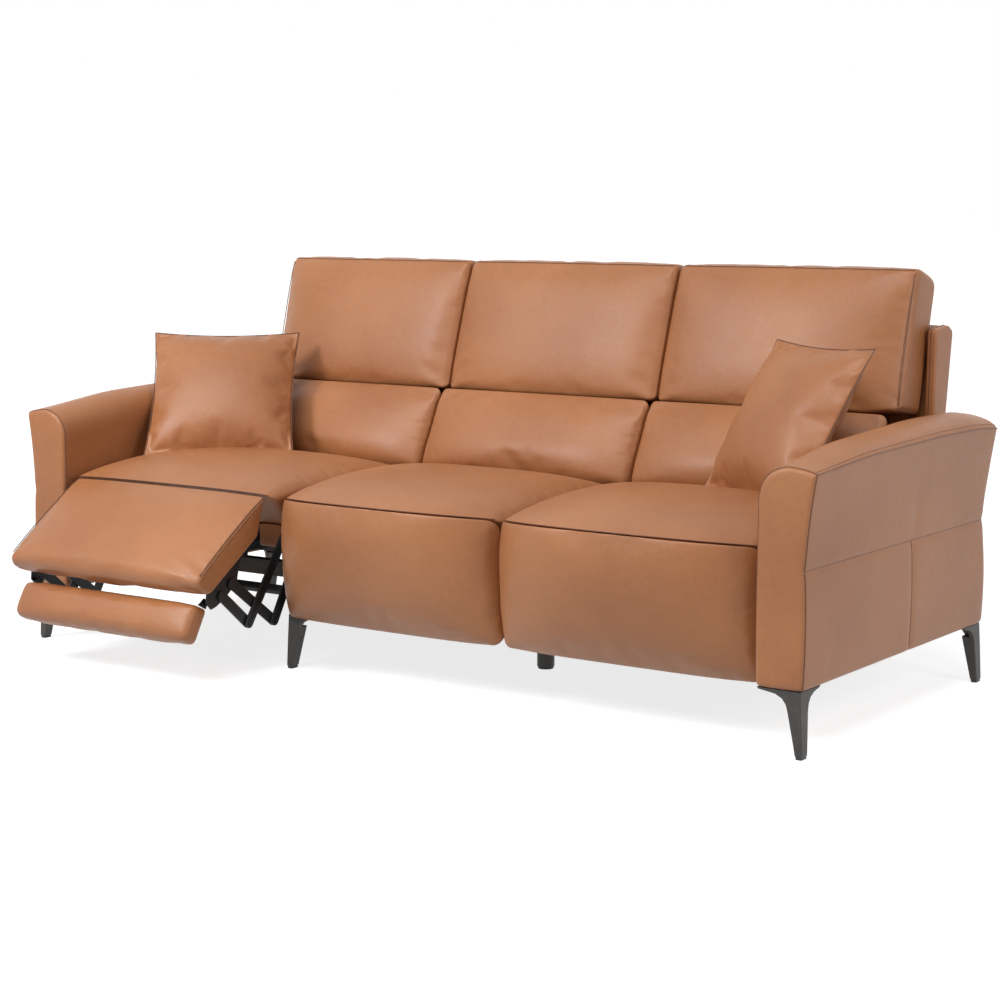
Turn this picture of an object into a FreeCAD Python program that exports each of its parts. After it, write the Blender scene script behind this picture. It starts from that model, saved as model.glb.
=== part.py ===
import FreeCAD, Part
import math
import os
import Sketcher
from FreeCAD import Placement, Rotation, Vector

# Three-seat reclining sofa, millimetres. Z is up from the floor, X runs along the sofa
# (left seat negative), Y runs from the front to the back with its zero at mid depth.
# Sizes named ..._y are measured back from the front faces of the arms.
os.makedirs("parts", exist_ok=True)
doc = FreeCAD.newDocument("RecliningSofa")
dim = doc.addObject("Spreadsheet::Sheet", "Dim")

SIZES = [
    ("front_plane", -360, "Y of the front faces of the arms"),
    ("body_bottom", 140, "underside of the upholstered body"),
    ("column_pitch", 629, "centre to centre of the seats and backs"),
    ("seat_end_extra", 26.5, "an end seat past the edge of its back"),
    ("seat_outer", "=1.5 * column_pitch + seat_end_extra", "outer edge of the end seats"),
    ("seat_side_gap", 16, "between an end seat and the arm"),
    ("inner_half_width", "=seat_outer + seat_side_gap", "half the width between the arms"),
    ("running_gap", 5, "gap between soft parts that move past each other"),
    ("fit_gap", 0.4, "gap between parts that lie against each other"),
    # arms
    ("arm_depth", 914, "arm, front to back"),
    ("arm_base_width", 107, "arm at its underside"),
    ("arm_top_width", 130, "arm at its outer top seam"),
    ("arm_seam_height", 385, "welt seam along the outer side"),
    ("arm_edge_height", 580, "outer top seam at the front"),
    ("arm_ridge_front", 592, "crest of the arm at the front"),
    ("arm_ridge_mid", 642, "crest of the arm two thirds back"),
    ("arm_frame_board", 30, "board inside each arm"),
    ("arm_frame_in", 38, "that board from the arm's inner face"),
    ("arm_frame_end", 60, "that board from the ends of the arm"),
    ("arm_frame_drop", 240, "that board below the arm's outer top seam"),
    # legs
    ("leg_plate", 5, "thickness of the leg's metal"),
    ("leg_wing", 100, "length of each wing at the top of a leg"),
    ("leg_neck", 42, "width of a leg under its wings"),
    ("leg_foot", 29, "width of a leg at the floor"),
    ("leg_inset", 5, "leg corner in from the arm's edges"),
    ("glide_height", 6, "plastic glide under each leg"),
    ("middle_leg_out", 9.5, "corner of the front middle leg past the seat division"),
    ("middle_leg_y", 86, "corner of the front middle leg"),
    ("middle_leg_top", "=body_bottom - 6", "top of the front middle leg"),
    ("centre_leg_in", 135.5, "round leg in from the right seat division"),
    ("centre_leg_radius", 21, "round leg"),
    # base rails
    ("rail_top", "=body_bottom + 44", "top of the wooden base rails"),
    ("rail_bottom", "=body_bottom + 4", "underside of the cross rails"),
    ("rail_width", 30, "width of a rail"),
    ("divider_width", 25, "front-to-back rail under a seat division"),
    ("front_rail_y", 98.5, "front face of the front rail"),
    ("centre_rail_y", 430, "front face of the centre rails"),
    ("rear_rail_y", 733, "front face of the rear rail"),
    ("rear_rail_depth", 42, "rear rail, front to back"),
    # seats
    ("seam_height", 425, "seam along the front edge of a seat"),
    ("seam_side_y", 40, "front seam at the sides of a seat"),
    ("seam_bow", 72, "how far the front seam bows forward"),
    ("seat_rear_y", 560, "rear edge of the seat cushions"),
    ("seat_rear_height", "=seam_height + 22", "top of the seat at its rear edge"),
    ("seat_crown", 27, "swell of the seat's top"),
    ("cushion_bottom", "=seam_height - 80", "underside of the seat cushions"),
    ("deck_thickness", 18, "board that carries the springs"),
    ("spring_height", 6, "seat springs"),
    ("deck_rear_gap", 40, "reclining seat's deck in front of the upright board"),
    ("panel_bottom", "=body_bottom - 14", "lowest edge of the front panels"),
    ("panel_bottom_y", 65, "lowest edge of the front panels"),
    ("panel_rear_y", "=front_rail_y - 0.5", "rear face of the front panels"),
    ("panel_swell", 33, "swell of the front panels"),
    # backs
    ("crease_height", 640, "crease between headrest and lumbar cushion"),
    ("crease_y", 704, "crease at the middle of a back"),
    ("headrest_top", "=crease_height + 322", "top front edge of a headrest"),
    ("headrest_top_y", "=crease_y + 116", "top front edge at the middle of a headrest"),
    ("headrest_seam", 66, "side seams of the headrest behind its middle"),
    ("headrest_tuck", 12, "seams between two headrests behind their middles"),
    ("headrest_rear_top", "=headrest_top - 35", "top rear edge of a headrest"),
    ("headrest_rear_top_y", "=headrest_top_y + 133", "top rear edge of a headrest"),
    ("headrest_rear_y", "=crease_y + 170", "bottom rear edge of a headrest"),
    ("headrest_pivot_y", "=crease_y + 156", "hinge of a headrest"),
    ("headrest_pivot_z", "=crease_height + 5", "hinge of a headrest"),
    ("hinge_arm_in", 124.5, "headrest hinge arms in from the edge of a back"),
    ("rib_in", 64.5, "ribs behind the board in from the edge of a back"),
    ("headrest_travel", 20, "tilt of a headrest, degrees"),
    ("lumbar_bottom", "=seat_rear_height - 43", "underside of the lumbar cushions"),
    ("lumbar_front_y", "=seat_rear_y + 8", "lowest front edge of a lumbar cushion"),
    ("lumbar_swell", 26, "swell of a lumbar cushion"),
    ("board_thickness", 25, "upright board in each back"),
    ("board_foot_y", "=crease_y + 40", "front of the upright board at the recline pivot"),
    ("board_slope", 0.113, "lean of the upright board"),
    ("board_bottom", 290, "lower end of the reclining board"),
    ("board_top", "=crease_height - 100", "upper end of the boards"),
    ("shell_bottom", 270, "lower edge of the rear shells"),
    ("shell_top", "=crease_height + 188", "upper edge of the rear shells"),
    ("shell_foot_y", "=headrest_pivot_y + 30", "rear face of a shell at its lower edge"),
    ("shell_top_y", "=headrest_pivot_y + 115", "rear face of a shell at its top"),
    ("shell_thickness", 40, "padded rear shell"),
    ("shell_wing_y", "=headrest_pivot_y + 12", "front edge of a shell's side wing"),
    ("shell_wing_width", 24, "side wing of an end shell"),
    ("skirt_top", 320, "top of the fixed rear panel"),
    ("skirt_thickness", 12, "fixed rear panel"),
    # reclining seat and its mechanism
    ("mech_offset", 11, "middle of the mechanism outward of the middle of its back"),
    ("mech_centre", "=-(column_pitch + mech_offset)", "middle of the reclining seat's mechanism"),
    ("legrest_in", 4.5, "legrest in from half a column"),
    ("legrest_half", "=column_pitch / 2 - legrest_in", "half the width of the legrest"),
    ("flap_in", 26, "flap in from the legrest's side"),
    ("flap_half", "=legrest_half - flap_in", "half the width of the flap"),
    ("plate", 4, "thickness of the steel side plates and links"),
    ("layer_pitch", 5.5, "spacing of the link layers"),
    ("link_width", 26, "width of the links"),
    ("pin_radius", 4, "link pins"),
    ("pin_clearance", 0.05, "radial clearance of a pin in its link"),
    ("open_clearance", 2.2, "radial clearance at the opened pivots"),
    ("hinge_y", 12, "legrest hinge at the seat's front seam"),
    ("hinge_z", "=seam_height + 5", "legrest hinge"),
    ("legrest_drop", 34.4, "legrest below level at rest, degrees"),
    ("legrest_length", 310, "legrest from its hinge to its front edge"),
    ("legrest_thickness", 68, "legrest pad"),
    ("lift_pivot_y", "=hinge_y + 88", "lift link on the side plate"),
    ("lift_pivot_z", "=hinge_z - 98", "lift link on the side plate"),
    ("lift_joint_y", "=hinge_y - 50", "lift link to front link"),
    ("lift_joint_z", "=hinge_z - 300", "lift link to front link"),
    ("front_pivot_y", "=hinge_y - 137", "front link on the legrest bracket"),
    ("front_pivot_z", "=hinge_z - 225", "front link on the legrest bracket"),
    ("rear_pivot_y", "=hinge_y + 148", "rear link on the side plate"),
    ("rear_pivot_z", "=hinge_z - 120", "rear link on the side plate"),
    ("rear_joint_y", "=hinge_y + 41", "rear link to cross link"),
    ("rear_joint_z", "=hinge_z - 308", "rear link to cross link"),
    ("cross_pivot_y", "=hinge_y - 102", "cross link on the legrest bracket"),
    ("cross_pivot_z", "=hinge_z - 200", "cross link on the legrest bracket"),
    ("flap_pivot_y", "=hinge_y - 171", "flap hinge on the legrest bracket"),
    ("flap_pivot_z", "=hinge_z - 238", "flap hinge on the legrest bracket"),
    ("flap_tilt", 60.6, "flap face below level, degrees"),
    ("flap_start", 12, "flap pad beyond its hinge"),
    ("flap_height", 92, "flap pad along its face"),
    ("flap_face", 45, "flap face in front of its hinge"),
    ("flap_thickness", 58, "flap pad"),
    ("drive_tube_at", 140, "drive tube along the rear links"),
    ("drive_tube_radius", 12, "drive tube"),
    ("drive_tube_wall", 2, "drive tube"),
    ("glide_rail_y", 270, "front end of the glide rails"),
    ("glide_rail_height", 20, "glide rails"),
    ("glide_rail_width", 25, "glide rails"),
    ("shoe_start", 60, "first shoe of a side plate behind the front end of its rail"),
    ("shoe_pitch", 145, "spacing of the shoes"),
    ("shoe_length", 40, "shoe on a glide rail"),
    ("recline_pivot_y", "=board_foot_y + 16", "recline pivot"),
    ("recline_pivot_z", "=cushion_bottom + 15", "recline pivot"),
    ("track_y", 232, "front end of the drive track"),
    ("track_length", 330, "drive track"),
    ("track_bottom", "=cushion_bottom - 113", "underside of the drive track"),
    ("hanger_at", 200, "hanger behind the front end of the drive track"),
    ("track_size", 24, "width and height of the drive track"),
    ("nut_length", 34, "drive nut"),
    ("nut_wall", 9, "drive nut around the track"),
    ("fork_clearance", 3, "fork beside the drive tube"),
    ("motor_length", 96, "drive motor, front to back"),
    ("motor_radius", 31, "drive motor"),
    # loose cushions
    ("throw_side", 380, "side of a loose cushion"),
    ("throw_swell", 62, "half thickness of a loose cushion"),
    ("throw_edge", 5, "half thickness of a loose cushion's edge"),
    ("throw_pinch", 13, "how far a loose cushion's sides draw in"),
    ("left_throw_in", 125, "left cushion in from the seat's outer edge"),
    ("left_throw_front", 120, "left cushion in front of the seat's rear edge"),
    ("left_throw_rise", 166.2, "left cushion above the seat's rear edge"),
    ("left_throw_turn", 35.6, "left cushion about the vertical, degrees"),
    ("left_throw_lean", 39.6, "left cushion leaning back, degrees"),
    ("right_throw_in", 188, "right cushion in from the seat's outer edge"),
    ("right_throw_front", 50, "right cushion in front of the seat's rear edge"),
    ("right_throw_rise", 179.4, "right cushion above the seat's rear edge"),
    ("right_throw_turn", -29, "right cushion about the vertical, degrees"),
    ("right_throw_lean", 30, "right cushion leaning back, degrees"),
]
for row, (alias, value, note) in enumerate(SIZES, start=1):
    dim.set(f"A{row}", note)
    dim.set(f"B{row}", str(value))
    dim.setAlias(f"B{row}", alias)
doc.recompute()

nodes = []
X_AXIS = Vector(1, 0, 0)
FRONT = dim.front_plane


def number(expression):
    """The value of a sheet expression, as a plain float."""
    result = dim.evalExpression(expression)
    return float(getattr(result, "Value", result))


def bind(item, **expressions):
    """Tie properties to sheet expressions; X, Y and Z stand for the position."""
    for name, expression in expressions.items():
        path = {"X": "Placement.Base.x", "Y": "Placement.Base.y", "Z": "Placement.Base.z"}.get(name, name)
        item.setExpression(path, expression)
    return item


def keep(item, label):
    """Name a finished sub-part, which is then one of the exported nodes."""
    item.Label = label
    nodes.append(item)
    return item


def depth(name):
    """Expression for a size measured back from the front faces of the arms."""
    return f"(Dim.front_plane + Dim.{name})"


def block(name, x, y, z, length, width, height):
    """A rectangular board or bar from its low corner."""
    box = doc.addObject("Part::Box", name)
    return bind(box, X=x, Y=y, Z=z, Length=length, Width=width, Height=height)


def rod(name, x, y, z, radius, length):
    """A round bar along X from its low end."""
    bar = doc.addObject("Part::Cylinder", name)
    bar.Placement = Placement(Vector(0, 0, 0), Rotation(Vector(0, 1, 0), 90))
    return bind(bar, X=x, Y=y, Z=z, Radius=radius, Height=length)


def joined(name, kind, items):
    """Several features as one: kind is Compound or MultiFuse."""
    group = doc.addObject(f"Part::{kind}", name)
    if kind == "Compound":
        group.Links = items
    else:
        group.Shapes = items
    return group


def cut(name, base, tool):
    """One feature with another taken out of it."""
    result = doc.addObject("Part::Cut", name)
    result.Base = base
    result.Tool = tool
    return result


def mirrored(name, source, centre_x):
    """The same feature on the other side of the plane at centre_x."""
    copy = doc.addObject("Part::Mirroring", name)
    copy.Source = source
    copy.Normal = X_AXIS
    copy.setExpression("Base.x", centre_x)
    return copy


def both_sides(name, source, centre_x="Dim.mech_centre"):
    """A left and a right hand of one piece, as a group of two."""
    return joined(name, "Compound", [source, mirrored(f"{name}_left", source, centre_x)])


def body_plane(body, role):
    """One of a body's own origin planes."""
    return next(item for item in body.Origin.OriginFeatures if item.Role == role)


def new_sketch(body, role="YZ_Plane"):
    """A sketch on one of the body's origin planes."""
    sketch = body.newObject("Sketcher::SketchObject", f"{body.Name}_sketch")
    sketch.AttachmentSupport = [(body_plane(body, role), "")]
    sketch.MapMode = "FlatFace"
    return sketch


def place_point(sketch, geometry, vertex, across, up):
    """Hold one sketch point at two sheet expressions."""
    for kind, expression in (("DistanceX", across), ("DistanceY", up)):
        value = number(expression)
        index = sketch.addConstraint(Sketcher.Constraint(kind, -1, 1, geometry, vertex, value))
        sketch.setExpression(f"Constraints[{index}]", expression)


def outline(sketch, points):
    """A closed run of straight lines through points given as expression pairs."""
    spots = [Vector(number(across), number(up), 0) for across, up in points]
    count = len(spots)
    lines = [sketch.addGeometry(Part.LineSegment(spots[i], spots[(i + 1) % count])) for i in range(count)]
    for i, line in enumerate(lines):
        sketch.addConstraint(Sketcher.Constraint("Coincident", line, 2, lines[(i + 1) % count], 1))
        place_point(sketch, line, 1, *points[i])


def hole(sketch, across, up, radius):
    """A round hole inside an outline."""
    centre = Vector(number(across), number(up), 0)
    circle = sketch.addGeometry(Part.Circle(centre, Vector(0, 0, 1), number(radius)))
    place_point(sketch, circle, 3, across, up)
    index = sketch.addConstraint(Sketcher.Constraint("Radius", circle, number(radius)))
    sketch.setExpression(f"Constraints[{index}]", radius)


def slot_outline(sketch, start, end, radius):
    """A bar with round ends between two pivots."""
    a = Vector(number(start[0]), number(start[1]), 0)
    b = Vector(number(end[0]), number(end[1]), 0)
    r = number(radius)
    along = (b - a).normalize()
    side = Vector(-along.y, along.x, 0) * r
    turn = math.atan2(side.y, side.x)
    up = Vector(0, 0, 1)
    first = sketch.addGeometry(Part.ArcOfCircle(Part.Circle(a, up, r), turn, turn + math.pi))
    lower = sketch.addGeometry(Part.LineSegment(a - side, b - side))
    last = sketch.addGeometry(Part.ArcOfCircle(Part.Circle(b, up, r), turn + math.pi, turn + 2 * math.pi))
    upper = sketch.addGeometry(Part.LineSegment(b + side, a + side))
    for one, end_one, two, end_two in ((first, 2, lower, 1), (lower, 2, last, 1),
                                       (last, 2, upper, 1), (upper, 2, first, 1)):
        sketch.addConstraint(Sketcher.Constraint("Tangent", one, end_one, two, end_two))
    place_point(sketch, first, 3, *start)
    place_point(sketch, last, 3, *end)
    index = sketch.addConstraint(Sketcher.Constraint("Radius", first, r))
    sketch.setExpression(f"Constraints[{index}]", radius)


def pad(body, sketch, length, reverse=False):
    """Raise a sketch by a sheet expression."""
    feature = body.newObject("PartDesign::Pad", f"{body.Name}_pad")
    feature.Profile = sketch
    feature.setExpression("Length", length)
    feature.Reversed = reverse
    sketch.Visibility = False
    return feature


def plate(name, x, points, thickness, holes=()):
    """A flat plate in a front-to-back plane, low side at x."""
    body = doc.addObject("PartDesign::Body", name)
    sketch = new_sketch(body)
    outline(sketch, points)
    for spot in holes:
        hole(sketch, *spot)
    pad(body, sketch, thickness)
    return bind(body, X=x)


def link_bar(name, x, start, end, start_hole, end_hole):
    """A flat link with round ends; a hole of None leaves that end closed."""
    body = doc.addObject("PartDesign::Body", name)
    sketch = new_sketch(body)
    slot_outline(sketch, start, end, "Dim.link_width / 2")
    for spot, radius in ((start, start_hole), (end, end_hole)):
        if radius:
            hole(sketch, spot[0], spot[1], radius)
    pad(body, sketch, "Dim.plate")
    return bind(body, X=x)


STATIONS = (-1, -0.85, -0.45, 0.45, 0.85, 1)


def swollen_side(start, end, swell, out, steps):
    """One side of a section as a run of points on an arc that swells outward."""
    shares = [i / steps for i in range(steps)]
    return [start + (end - start) * t + out * (swell * 4 * t * (1 - t)) for t in shares]


def section(x, corners, swells, steps=(4, 3, 1, 1)):
    """A closed section at x; corners are (y, z) in order, swells go outward."""
    spots = [Vector(x, y, z) for y, z in corners]
    centre = sum(spots, Vector(0, 0, 0)) * (1 / len(spots))
    border = []
    for i, start in enumerate(spots):
        end = spots[(i + 1) % len(spots)]
        run = end - start
        out = Vector(0, run.z, -run.y).normalize()
        if out.dot((start + end) * 0.5 - centre) < 0:
            out = out * -1
        border += swollen_side(start, end, swells[i], out, steps[i])
    return Part.makePolygon(border + border[:1])


def blended(edge, middle, share):
    """Values between those at a cushion's side and those at its middle."""
    return [e + (m - e) * share for e, m in zip(edge, middle)]


def cushion_shape(centre_x, half_width, edge, middle, edge_swell, middle_swell, power=3, right_edge=None):
    """A stuffed form lofted across the sofa, fuller in its middle than at its sides."""
    wires = []
    for station in STATIONS:
        share = 1 - abs(station) ** power
        side = right_edge if right_edge and station > 0 else edge
        corners = [blended(e, m, share) for e, m in zip(side, middle)]
        swells = blended(edge_swell, middle_swell, share)
        wires.append(section(centre_x + station * half_width, corners, swells))
    return Part.makeLoft(wires, True, True)


def soft(label, shape):
    """A soft form as its own feature."""
    item = doc.addObject("Part::Feature", label)
    item.Shape = shape
    return item


def back(y):
    """Y of a place measured back from the front faces of the arms."""
    return FRONT + y


# Arms: upholstered over a board, flaring above a welt seam, with a crested top.
def arm_section(y, ridge, edge_height, flare):
    """The arm's outline at y: its crest, its outer top seam and how far that seam flares."""
    inner = dim.inner_half_width
    base = inner + dim.arm_base_width
    outer = inner + dim.arm_top_width + flare
    low = dim.body_bottom
    seam = Vector(base + 1, y, dim.arm_seam_height)
    inner_top = Vector(inner, y, ridge - 85)
    crest = Vector(inner + 0.5 * dim.arm_top_width, y, ridge)
    shoulder = Vector(inner + 14, y, ridge - 26)
    corner = Vector(outer, y, edge_height)
    lip = Vector(outer - 22, y, edge_height + 0.62 * (ridge - edge_height))
    waist = Vector(base + 8, y, 0.5 * (dim.arm_seam_height + edge_height))
    bottom_in = Vector(inner, y, low)
    bottom_out = Vector(base, y, low)
    return Part.Wire([
        Part.LineSegment(bottom_in, inner_top).toShape(),
        Part.Arc(inner_top, shoulder, crest).toShape(),
        Part.Arc(crest, lip, corner).toShape(),
        Part.Arc(corner, waist, seam).toShape(),
        Part.LineSegment(seam, bottom_out).toShape(),
        Part.LineSegment(bottom_out, bottom_in).toShape(),
    ])


def arm_shape():
    """The right arm, lofted from front to back under its crested top."""
    rise = dim.arm_ridge_mid - dim.arm_ridge_front
    stations = ((0, 0, 0), (0.25, 0.62, 6), (0.65, 1, 8), (0.88, 0.96, 8), (1, 0.62, 8))
    wires = []
    for share, lift, flare in stations:
        ridge = dim.arm_ridge_front + rise * lift
        edge = dim.arm_edge_height + 26 * min(lift, 1) if share else dim.arm_edge_height
        wires.append(arm_section(back(share * dim.arm_depth), ridge, edge, flare * 0.4))
    return Part.makeLoft(wires, True, True)


right_cover = soft("right_arm_cover", arm_shape())
board_x = "Dim.inner_half_width + Dim.arm_frame_in"
board_y = depth("arm_frame_end")
board_depth = "Dim.arm_depth - 2 * Dim.arm_frame_end"
board_height = "Dim.arm_edge_height - Dim.arm_frame_drop"
recess = block("right_arm_recess", board_x, board_y, "Dim.body_bottom", "Dim.arm_frame_board + 2 * Dim.fit_gap",
               board_depth, board_height)
right_arm = keep(cut("right_arm", right_cover, recess), "right_arm")
keep(mirrored("left_arm", right_arm, "0"), "left_arm")
arm_board = block("arm_board", f"{board_x} + Dim.fit_gap", f"{board_y} + Dim.fit_gap", "Dim.body_bottom",
                  "Dim.arm_frame_board", f"{board_depth} - 2 * Dim.fit_gap", f"{board_height} - Dim.fit_gap")
keep(both_sides("arm_frames", arm_board, "0"), "arm_frames")


# Bracket legs: bent from plate, two wings under the body that taper into an angled foot.
def bracket_leg(label, x, y, turn, top="Dim.body_bottom"):
    """One leg with its corner at x, y, turned so that its wings run along the body."""
    body = doc.addObject("PartDesign::Body", label)
    low = "Dim.glide_height"
    profile = [("0", low), ("Dim.leg_foot", low), ("Dim.leg_neck", f"{top} - 34"),
               ("Dim.leg_neck + 16", f"{top} - 20"), ("Dim.leg_wing", f"{top} - 5"),
               ("Dim.leg_wing", top), ("0", top)]
    front_wing = new_sketch(body, "XZ_Plane")
    outline(front_wing, profile)
    pad(body, front_wing, "Dim.leg_plate", reverse=True)
    side_wing = new_sketch(body, "YZ_Plane")
    outline(side_wing, profile)
    pad(body, side_wing, "Dim.leg_plate")
    flange = new_sketch(body, "XY_Plane")
    flange.AttachmentOffset = Placement(Vector(0, 0, number(f"{top} - Dim.leg_plate")), Rotation())
    flange.setExpression("AttachmentOffset.Base.z", f"{top} - Dim.leg_plate")
    outline(flange, [("0", "0"), ("Dim.leg_wing - 8", "0"), ("0", "Dim.leg_wing - 8")])
    pad(body, flange, "Dim.leg_plate")
    body.Placement = Placement(Vector(0, 0, 0), Rotation(Vector(0, 0, 1), turn))
    bind(body, X=x, Y=y)
    return keep(body, label)


leg_x = "(Dim.inner_half_width + Dim.arm_base_width - Dim.leg_inset)"
leg_front = "Dim.front_plane + Dim.leg_inset"
leg_rear = "Dim.front_plane + Dim.arm_depth - Dim.leg_inset"
bracket_leg("front_left_leg", f"-{leg_x}", leg_front, 0)
bracket_leg("front_right_leg", leg_x, leg_front, 90)
bracket_leg("rear_right_leg", leg_x, leg_rear, 180)
bracket_leg("rear_left_leg", f"-{leg_x}", leg_rear, 270)
middle_leg_x = "-(Dim.column_pitch / 2 + Dim.middle_leg_out)"
centre_leg_x = "Dim.column_pitch / 2 - Dim.centre_leg_in"
bracket_leg("front_middle_leg", middle_leg_x, depth("middle_leg_y"), 0, "Dim.middle_leg_top")
centre_leg = doc.addObject("Part::Cylinder", "centre_leg")
bind(centre_leg, X=centre_leg_x, Y=depth("centre_rail_y") + " + Dim.rail_width / 2",
     Z="Dim.glide_height", Radius="Dim.centre_leg_radius", Height="Dim.rail_bottom - Dim.glide_height")
keep(centre_leg, "centre_leg")


# Glides: plastic pads that the metal legs stand on.
def glide(index, x, y):
    """One square glide from its low corner."""
    return block(f"glide_{index}", x, y, "0", "Dim.leg_foot", "Dim.leg_foot", "Dim.glide_height")


glides = [
    glide(1, f"-{leg_x}", leg_front), glide(2, f"{leg_x} - Dim.leg_foot", leg_front),
    glide(3, f"{leg_x} - Dim.leg_foot", f"{leg_rear} - Dim.leg_foot"),
    glide(4, f"-{leg_x}", f"{leg_rear} - Dim.leg_foot"),
    glide(5, middle_leg_x, depth("middle_leg_y")),
]
round_glide = doc.addObject("Part::Cylinder", "glide_6")
bind(round_glide, X=centre_leg_x, Y=depth("centre_rail_y") + " + Dim.rail_width / 2",
     Radius="Dim.centre_leg_radius - 2", Height="Dim.glide_height")
keep(joined("foot_glides", "Compound", glides + [round_glide]), "foot_glides")

# Base rails: the wooden ladder between the arms, butted at every crossing.
divider_left = "-(Dim.column_pitch / 2 + Dim.divider_width / 2)"
rail_height = "Dim.rail_top - Dim.rail_bottom"
keep(block("left_divider_rail", divider_left, depth("front_rail_y"), "Dim.middle_leg_top", "Dim.divider_width",
           "Dim.rear_rail_y - Dim.front_rail_y", "Dim.rail_top - Dim.middle_leg_top"), "left_divider_rail")
keep(block("right_divider_rail", "Dim.column_pitch / 2 - Dim.divider_width / 2",
           depth("front_rail_y") + " + Dim.rail_width", "Dim.rail_bottom", "Dim.divider_width",
           "Dim.rear_rail_y - Dim.front_rail_y - Dim.rail_width", rail_height), "right_divider_rail")
keep(block("front_base_rail", f"{divider_left} + Dim.divider_width", depth("front_rail_y"), "Dim.rail_bottom",
           "Dim.inner_half_width + Dim.column_pitch / 2 - Dim.divider_width / 2", "Dim.rail_width", rail_height),
     "front_base_rail")
keep(block("centre_base_rail", f"{divider_left} + Dim.divider_width", depth("centre_rail_y"), "Dim.rail_bottom",
           "Dim.column_pitch - Dim.divider_width", "Dim.rail_width", rail_height), "centre_base_rail")
keep(block("recliner_cross_rail", "-Dim.inner_half_width", depth("centre_rail_y"), "Dim.rail_bottom",
           "Dim.inner_half_width - Dim.column_pitch / 2 - Dim.divider_width / 2", "Dim.rail_width", rail_height),
     "recliner_cross_rail")
keep(block("rear_base_rail", "-Dim.inner_half_width", depth("rear_rail_y"), "Dim.rail_bottom",
           "2 * Dim.inner_half_width", "Dim.rear_rail_depth", rail_height), "rear_base_rail")

# Glide rails: steel rails on the ladder, along which the reclining seat slides forward.
rail_x = "Dim.mech_centre + Dim.legrest_half - Dim.plate / 2 - Dim.glide_rail_width / 2"
glide_rail = block("right_glide_rail", rail_x, depth("glide_rail_y"), "Dim.rail_top", "Dim.glide_rail_width",
                   "Dim.rear_rail_y + Dim.rear_rail_depth - Dim.glide_rail_y", "Dim.glide_rail_height")
keep(both_sides("glide_rails", glide_rail), "glide_rails")


# Seats: a crowned cushion on springs and a deck, over a swollen front panel.
def seat_top(y, z, rear_y, rear_z, low, low_y):
    """Corners of a seat cushion's section: front seam, rear edge and underside."""
    return [(back(y), z), (back(rear_y), rear_z), (back(rear_y), low), (back(low_y), low)]


def fixed_seat(name, left, right):
    """The cushion of a fixed seat, and the front panel under its seam."""
    centre = (left + right) / 2
    half = (right - left) / 2
    seam, side = dim.seam_height, dim.seam_side_y
    low, rear = dim.cushion_bottom, dim.seat_rear_y
    edge = seat_top(side + 22, seam - 6, rear, dim.seat_rear_height - 12, low, dim.panel_rear_y + 6)
    middle = seat_top(side - dim.seam_bow, seam + 6, rear, dim.seat_rear_height, low, dim.panel_rear_y + 6)
    swell = dim.seat_crown
    keep(soft(f"{name}_seat_cushion", cushion_shape(centre, half, edge, middle, (swell - 6, 1, 0, 0),
                                                    (swell + 8, 4, 0, 0))), f"{name}_seat_cushion")
    gap = dim.fit_gap * 4
    thin = dim.panel_rear_y
    panel_edge = [(back(side + 22), seam - 6 - gap), (back(thin), low - 8),
                  (back(thin), dim.panel_bottom + 16), (back(dim.panel_bottom_y + 12), dim.panel_bottom + 6)]
    panel_middle = [(back(side - dim.seam_bow), seam + 6 - gap), (back(thin), low - 8),
                    (back(thin), dim.panel_bottom + 16), (back(dim.panel_bottom_y - 18), dim.panel_bottom)]
    swells = (0, 0, 0, dim.panel_swell - 10)
    fuller = (0, 0, 0, dim.panel_swell)
    keep(soft(f"{name}_front_panel", cushion_shape(centre, half, panel_edge, panel_middle, swells, fuller)),
         f"{name}_front_panel")


def spring_strip(centre_x, y, z, length):
    """A zigzag seat spring: a flat ribbon that runs back in even steps."""
    reach, wire = 26, 5
    near = [(centre_x + (reach if i % 2 else -reach), y + length * i / 12) for i in range(13)]
    border = [Vector(x - wire, spot, z) for x, spot in near]
    border += [Vector(x + wire, spot, z) for x, spot in near[::-1]]
    return Part.Face(Part.makePolygon(border + border[:1])).extrude(Vector(0, 0, dim.spring_height))


def seat_deck(name, left, right, front_y, rear_y):
    """The board under a seat, and the springs on it."""
    length = rear_y - front_y
    base = dim.cushion_bottom - dim.fit_gap - dim.spring_height
    board = doc.addObject("Part::Box", f"{name}_seat_deck")
    board.Placement.Base = Vector(left, back(front_y), 0)
    board.Length, board.Width = right - left, length
    bind(board, Z="Dim.cushion_bottom - Dim.fit_gap - Dim.spring_height - Dim.deck_thickness",
         Height="Dim.deck_thickness")
    keep(board, f"{name}_seat_deck")
    pitch = (right - left) / 5
    return [spring_strip(left + pitch * (i + 1), back(front_y + 40), base, length - 160) for i in range(4)]


half_column = dim.column_pitch / 2
gap = dim.running_gap / 2
board_front_at_deck = dim.board_foot_y + dim.board_slope * (dim.cushion_bottom - 24 - dim.recline_pivot_z)
fixed_seat("middle", -half_column + gap, half_column - gap)
fixed_seat("right", half_column + gap, dim.seat_outer)
deck_front, deck_rear = dim.panel_rear_y + 0.5, board_front_at_deck - 0.2
springs = seat_deck("middle", -half_column + 20, half_column - 20, deck_front, deck_rear)
springs += seat_deck("right", half_column + 20, dim.seat_outer - 20, deck_front, deck_rear)
keep(soft("fixed_seat_springs", Part.makeCompound(springs)), "fixed_seat_springs")

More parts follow.
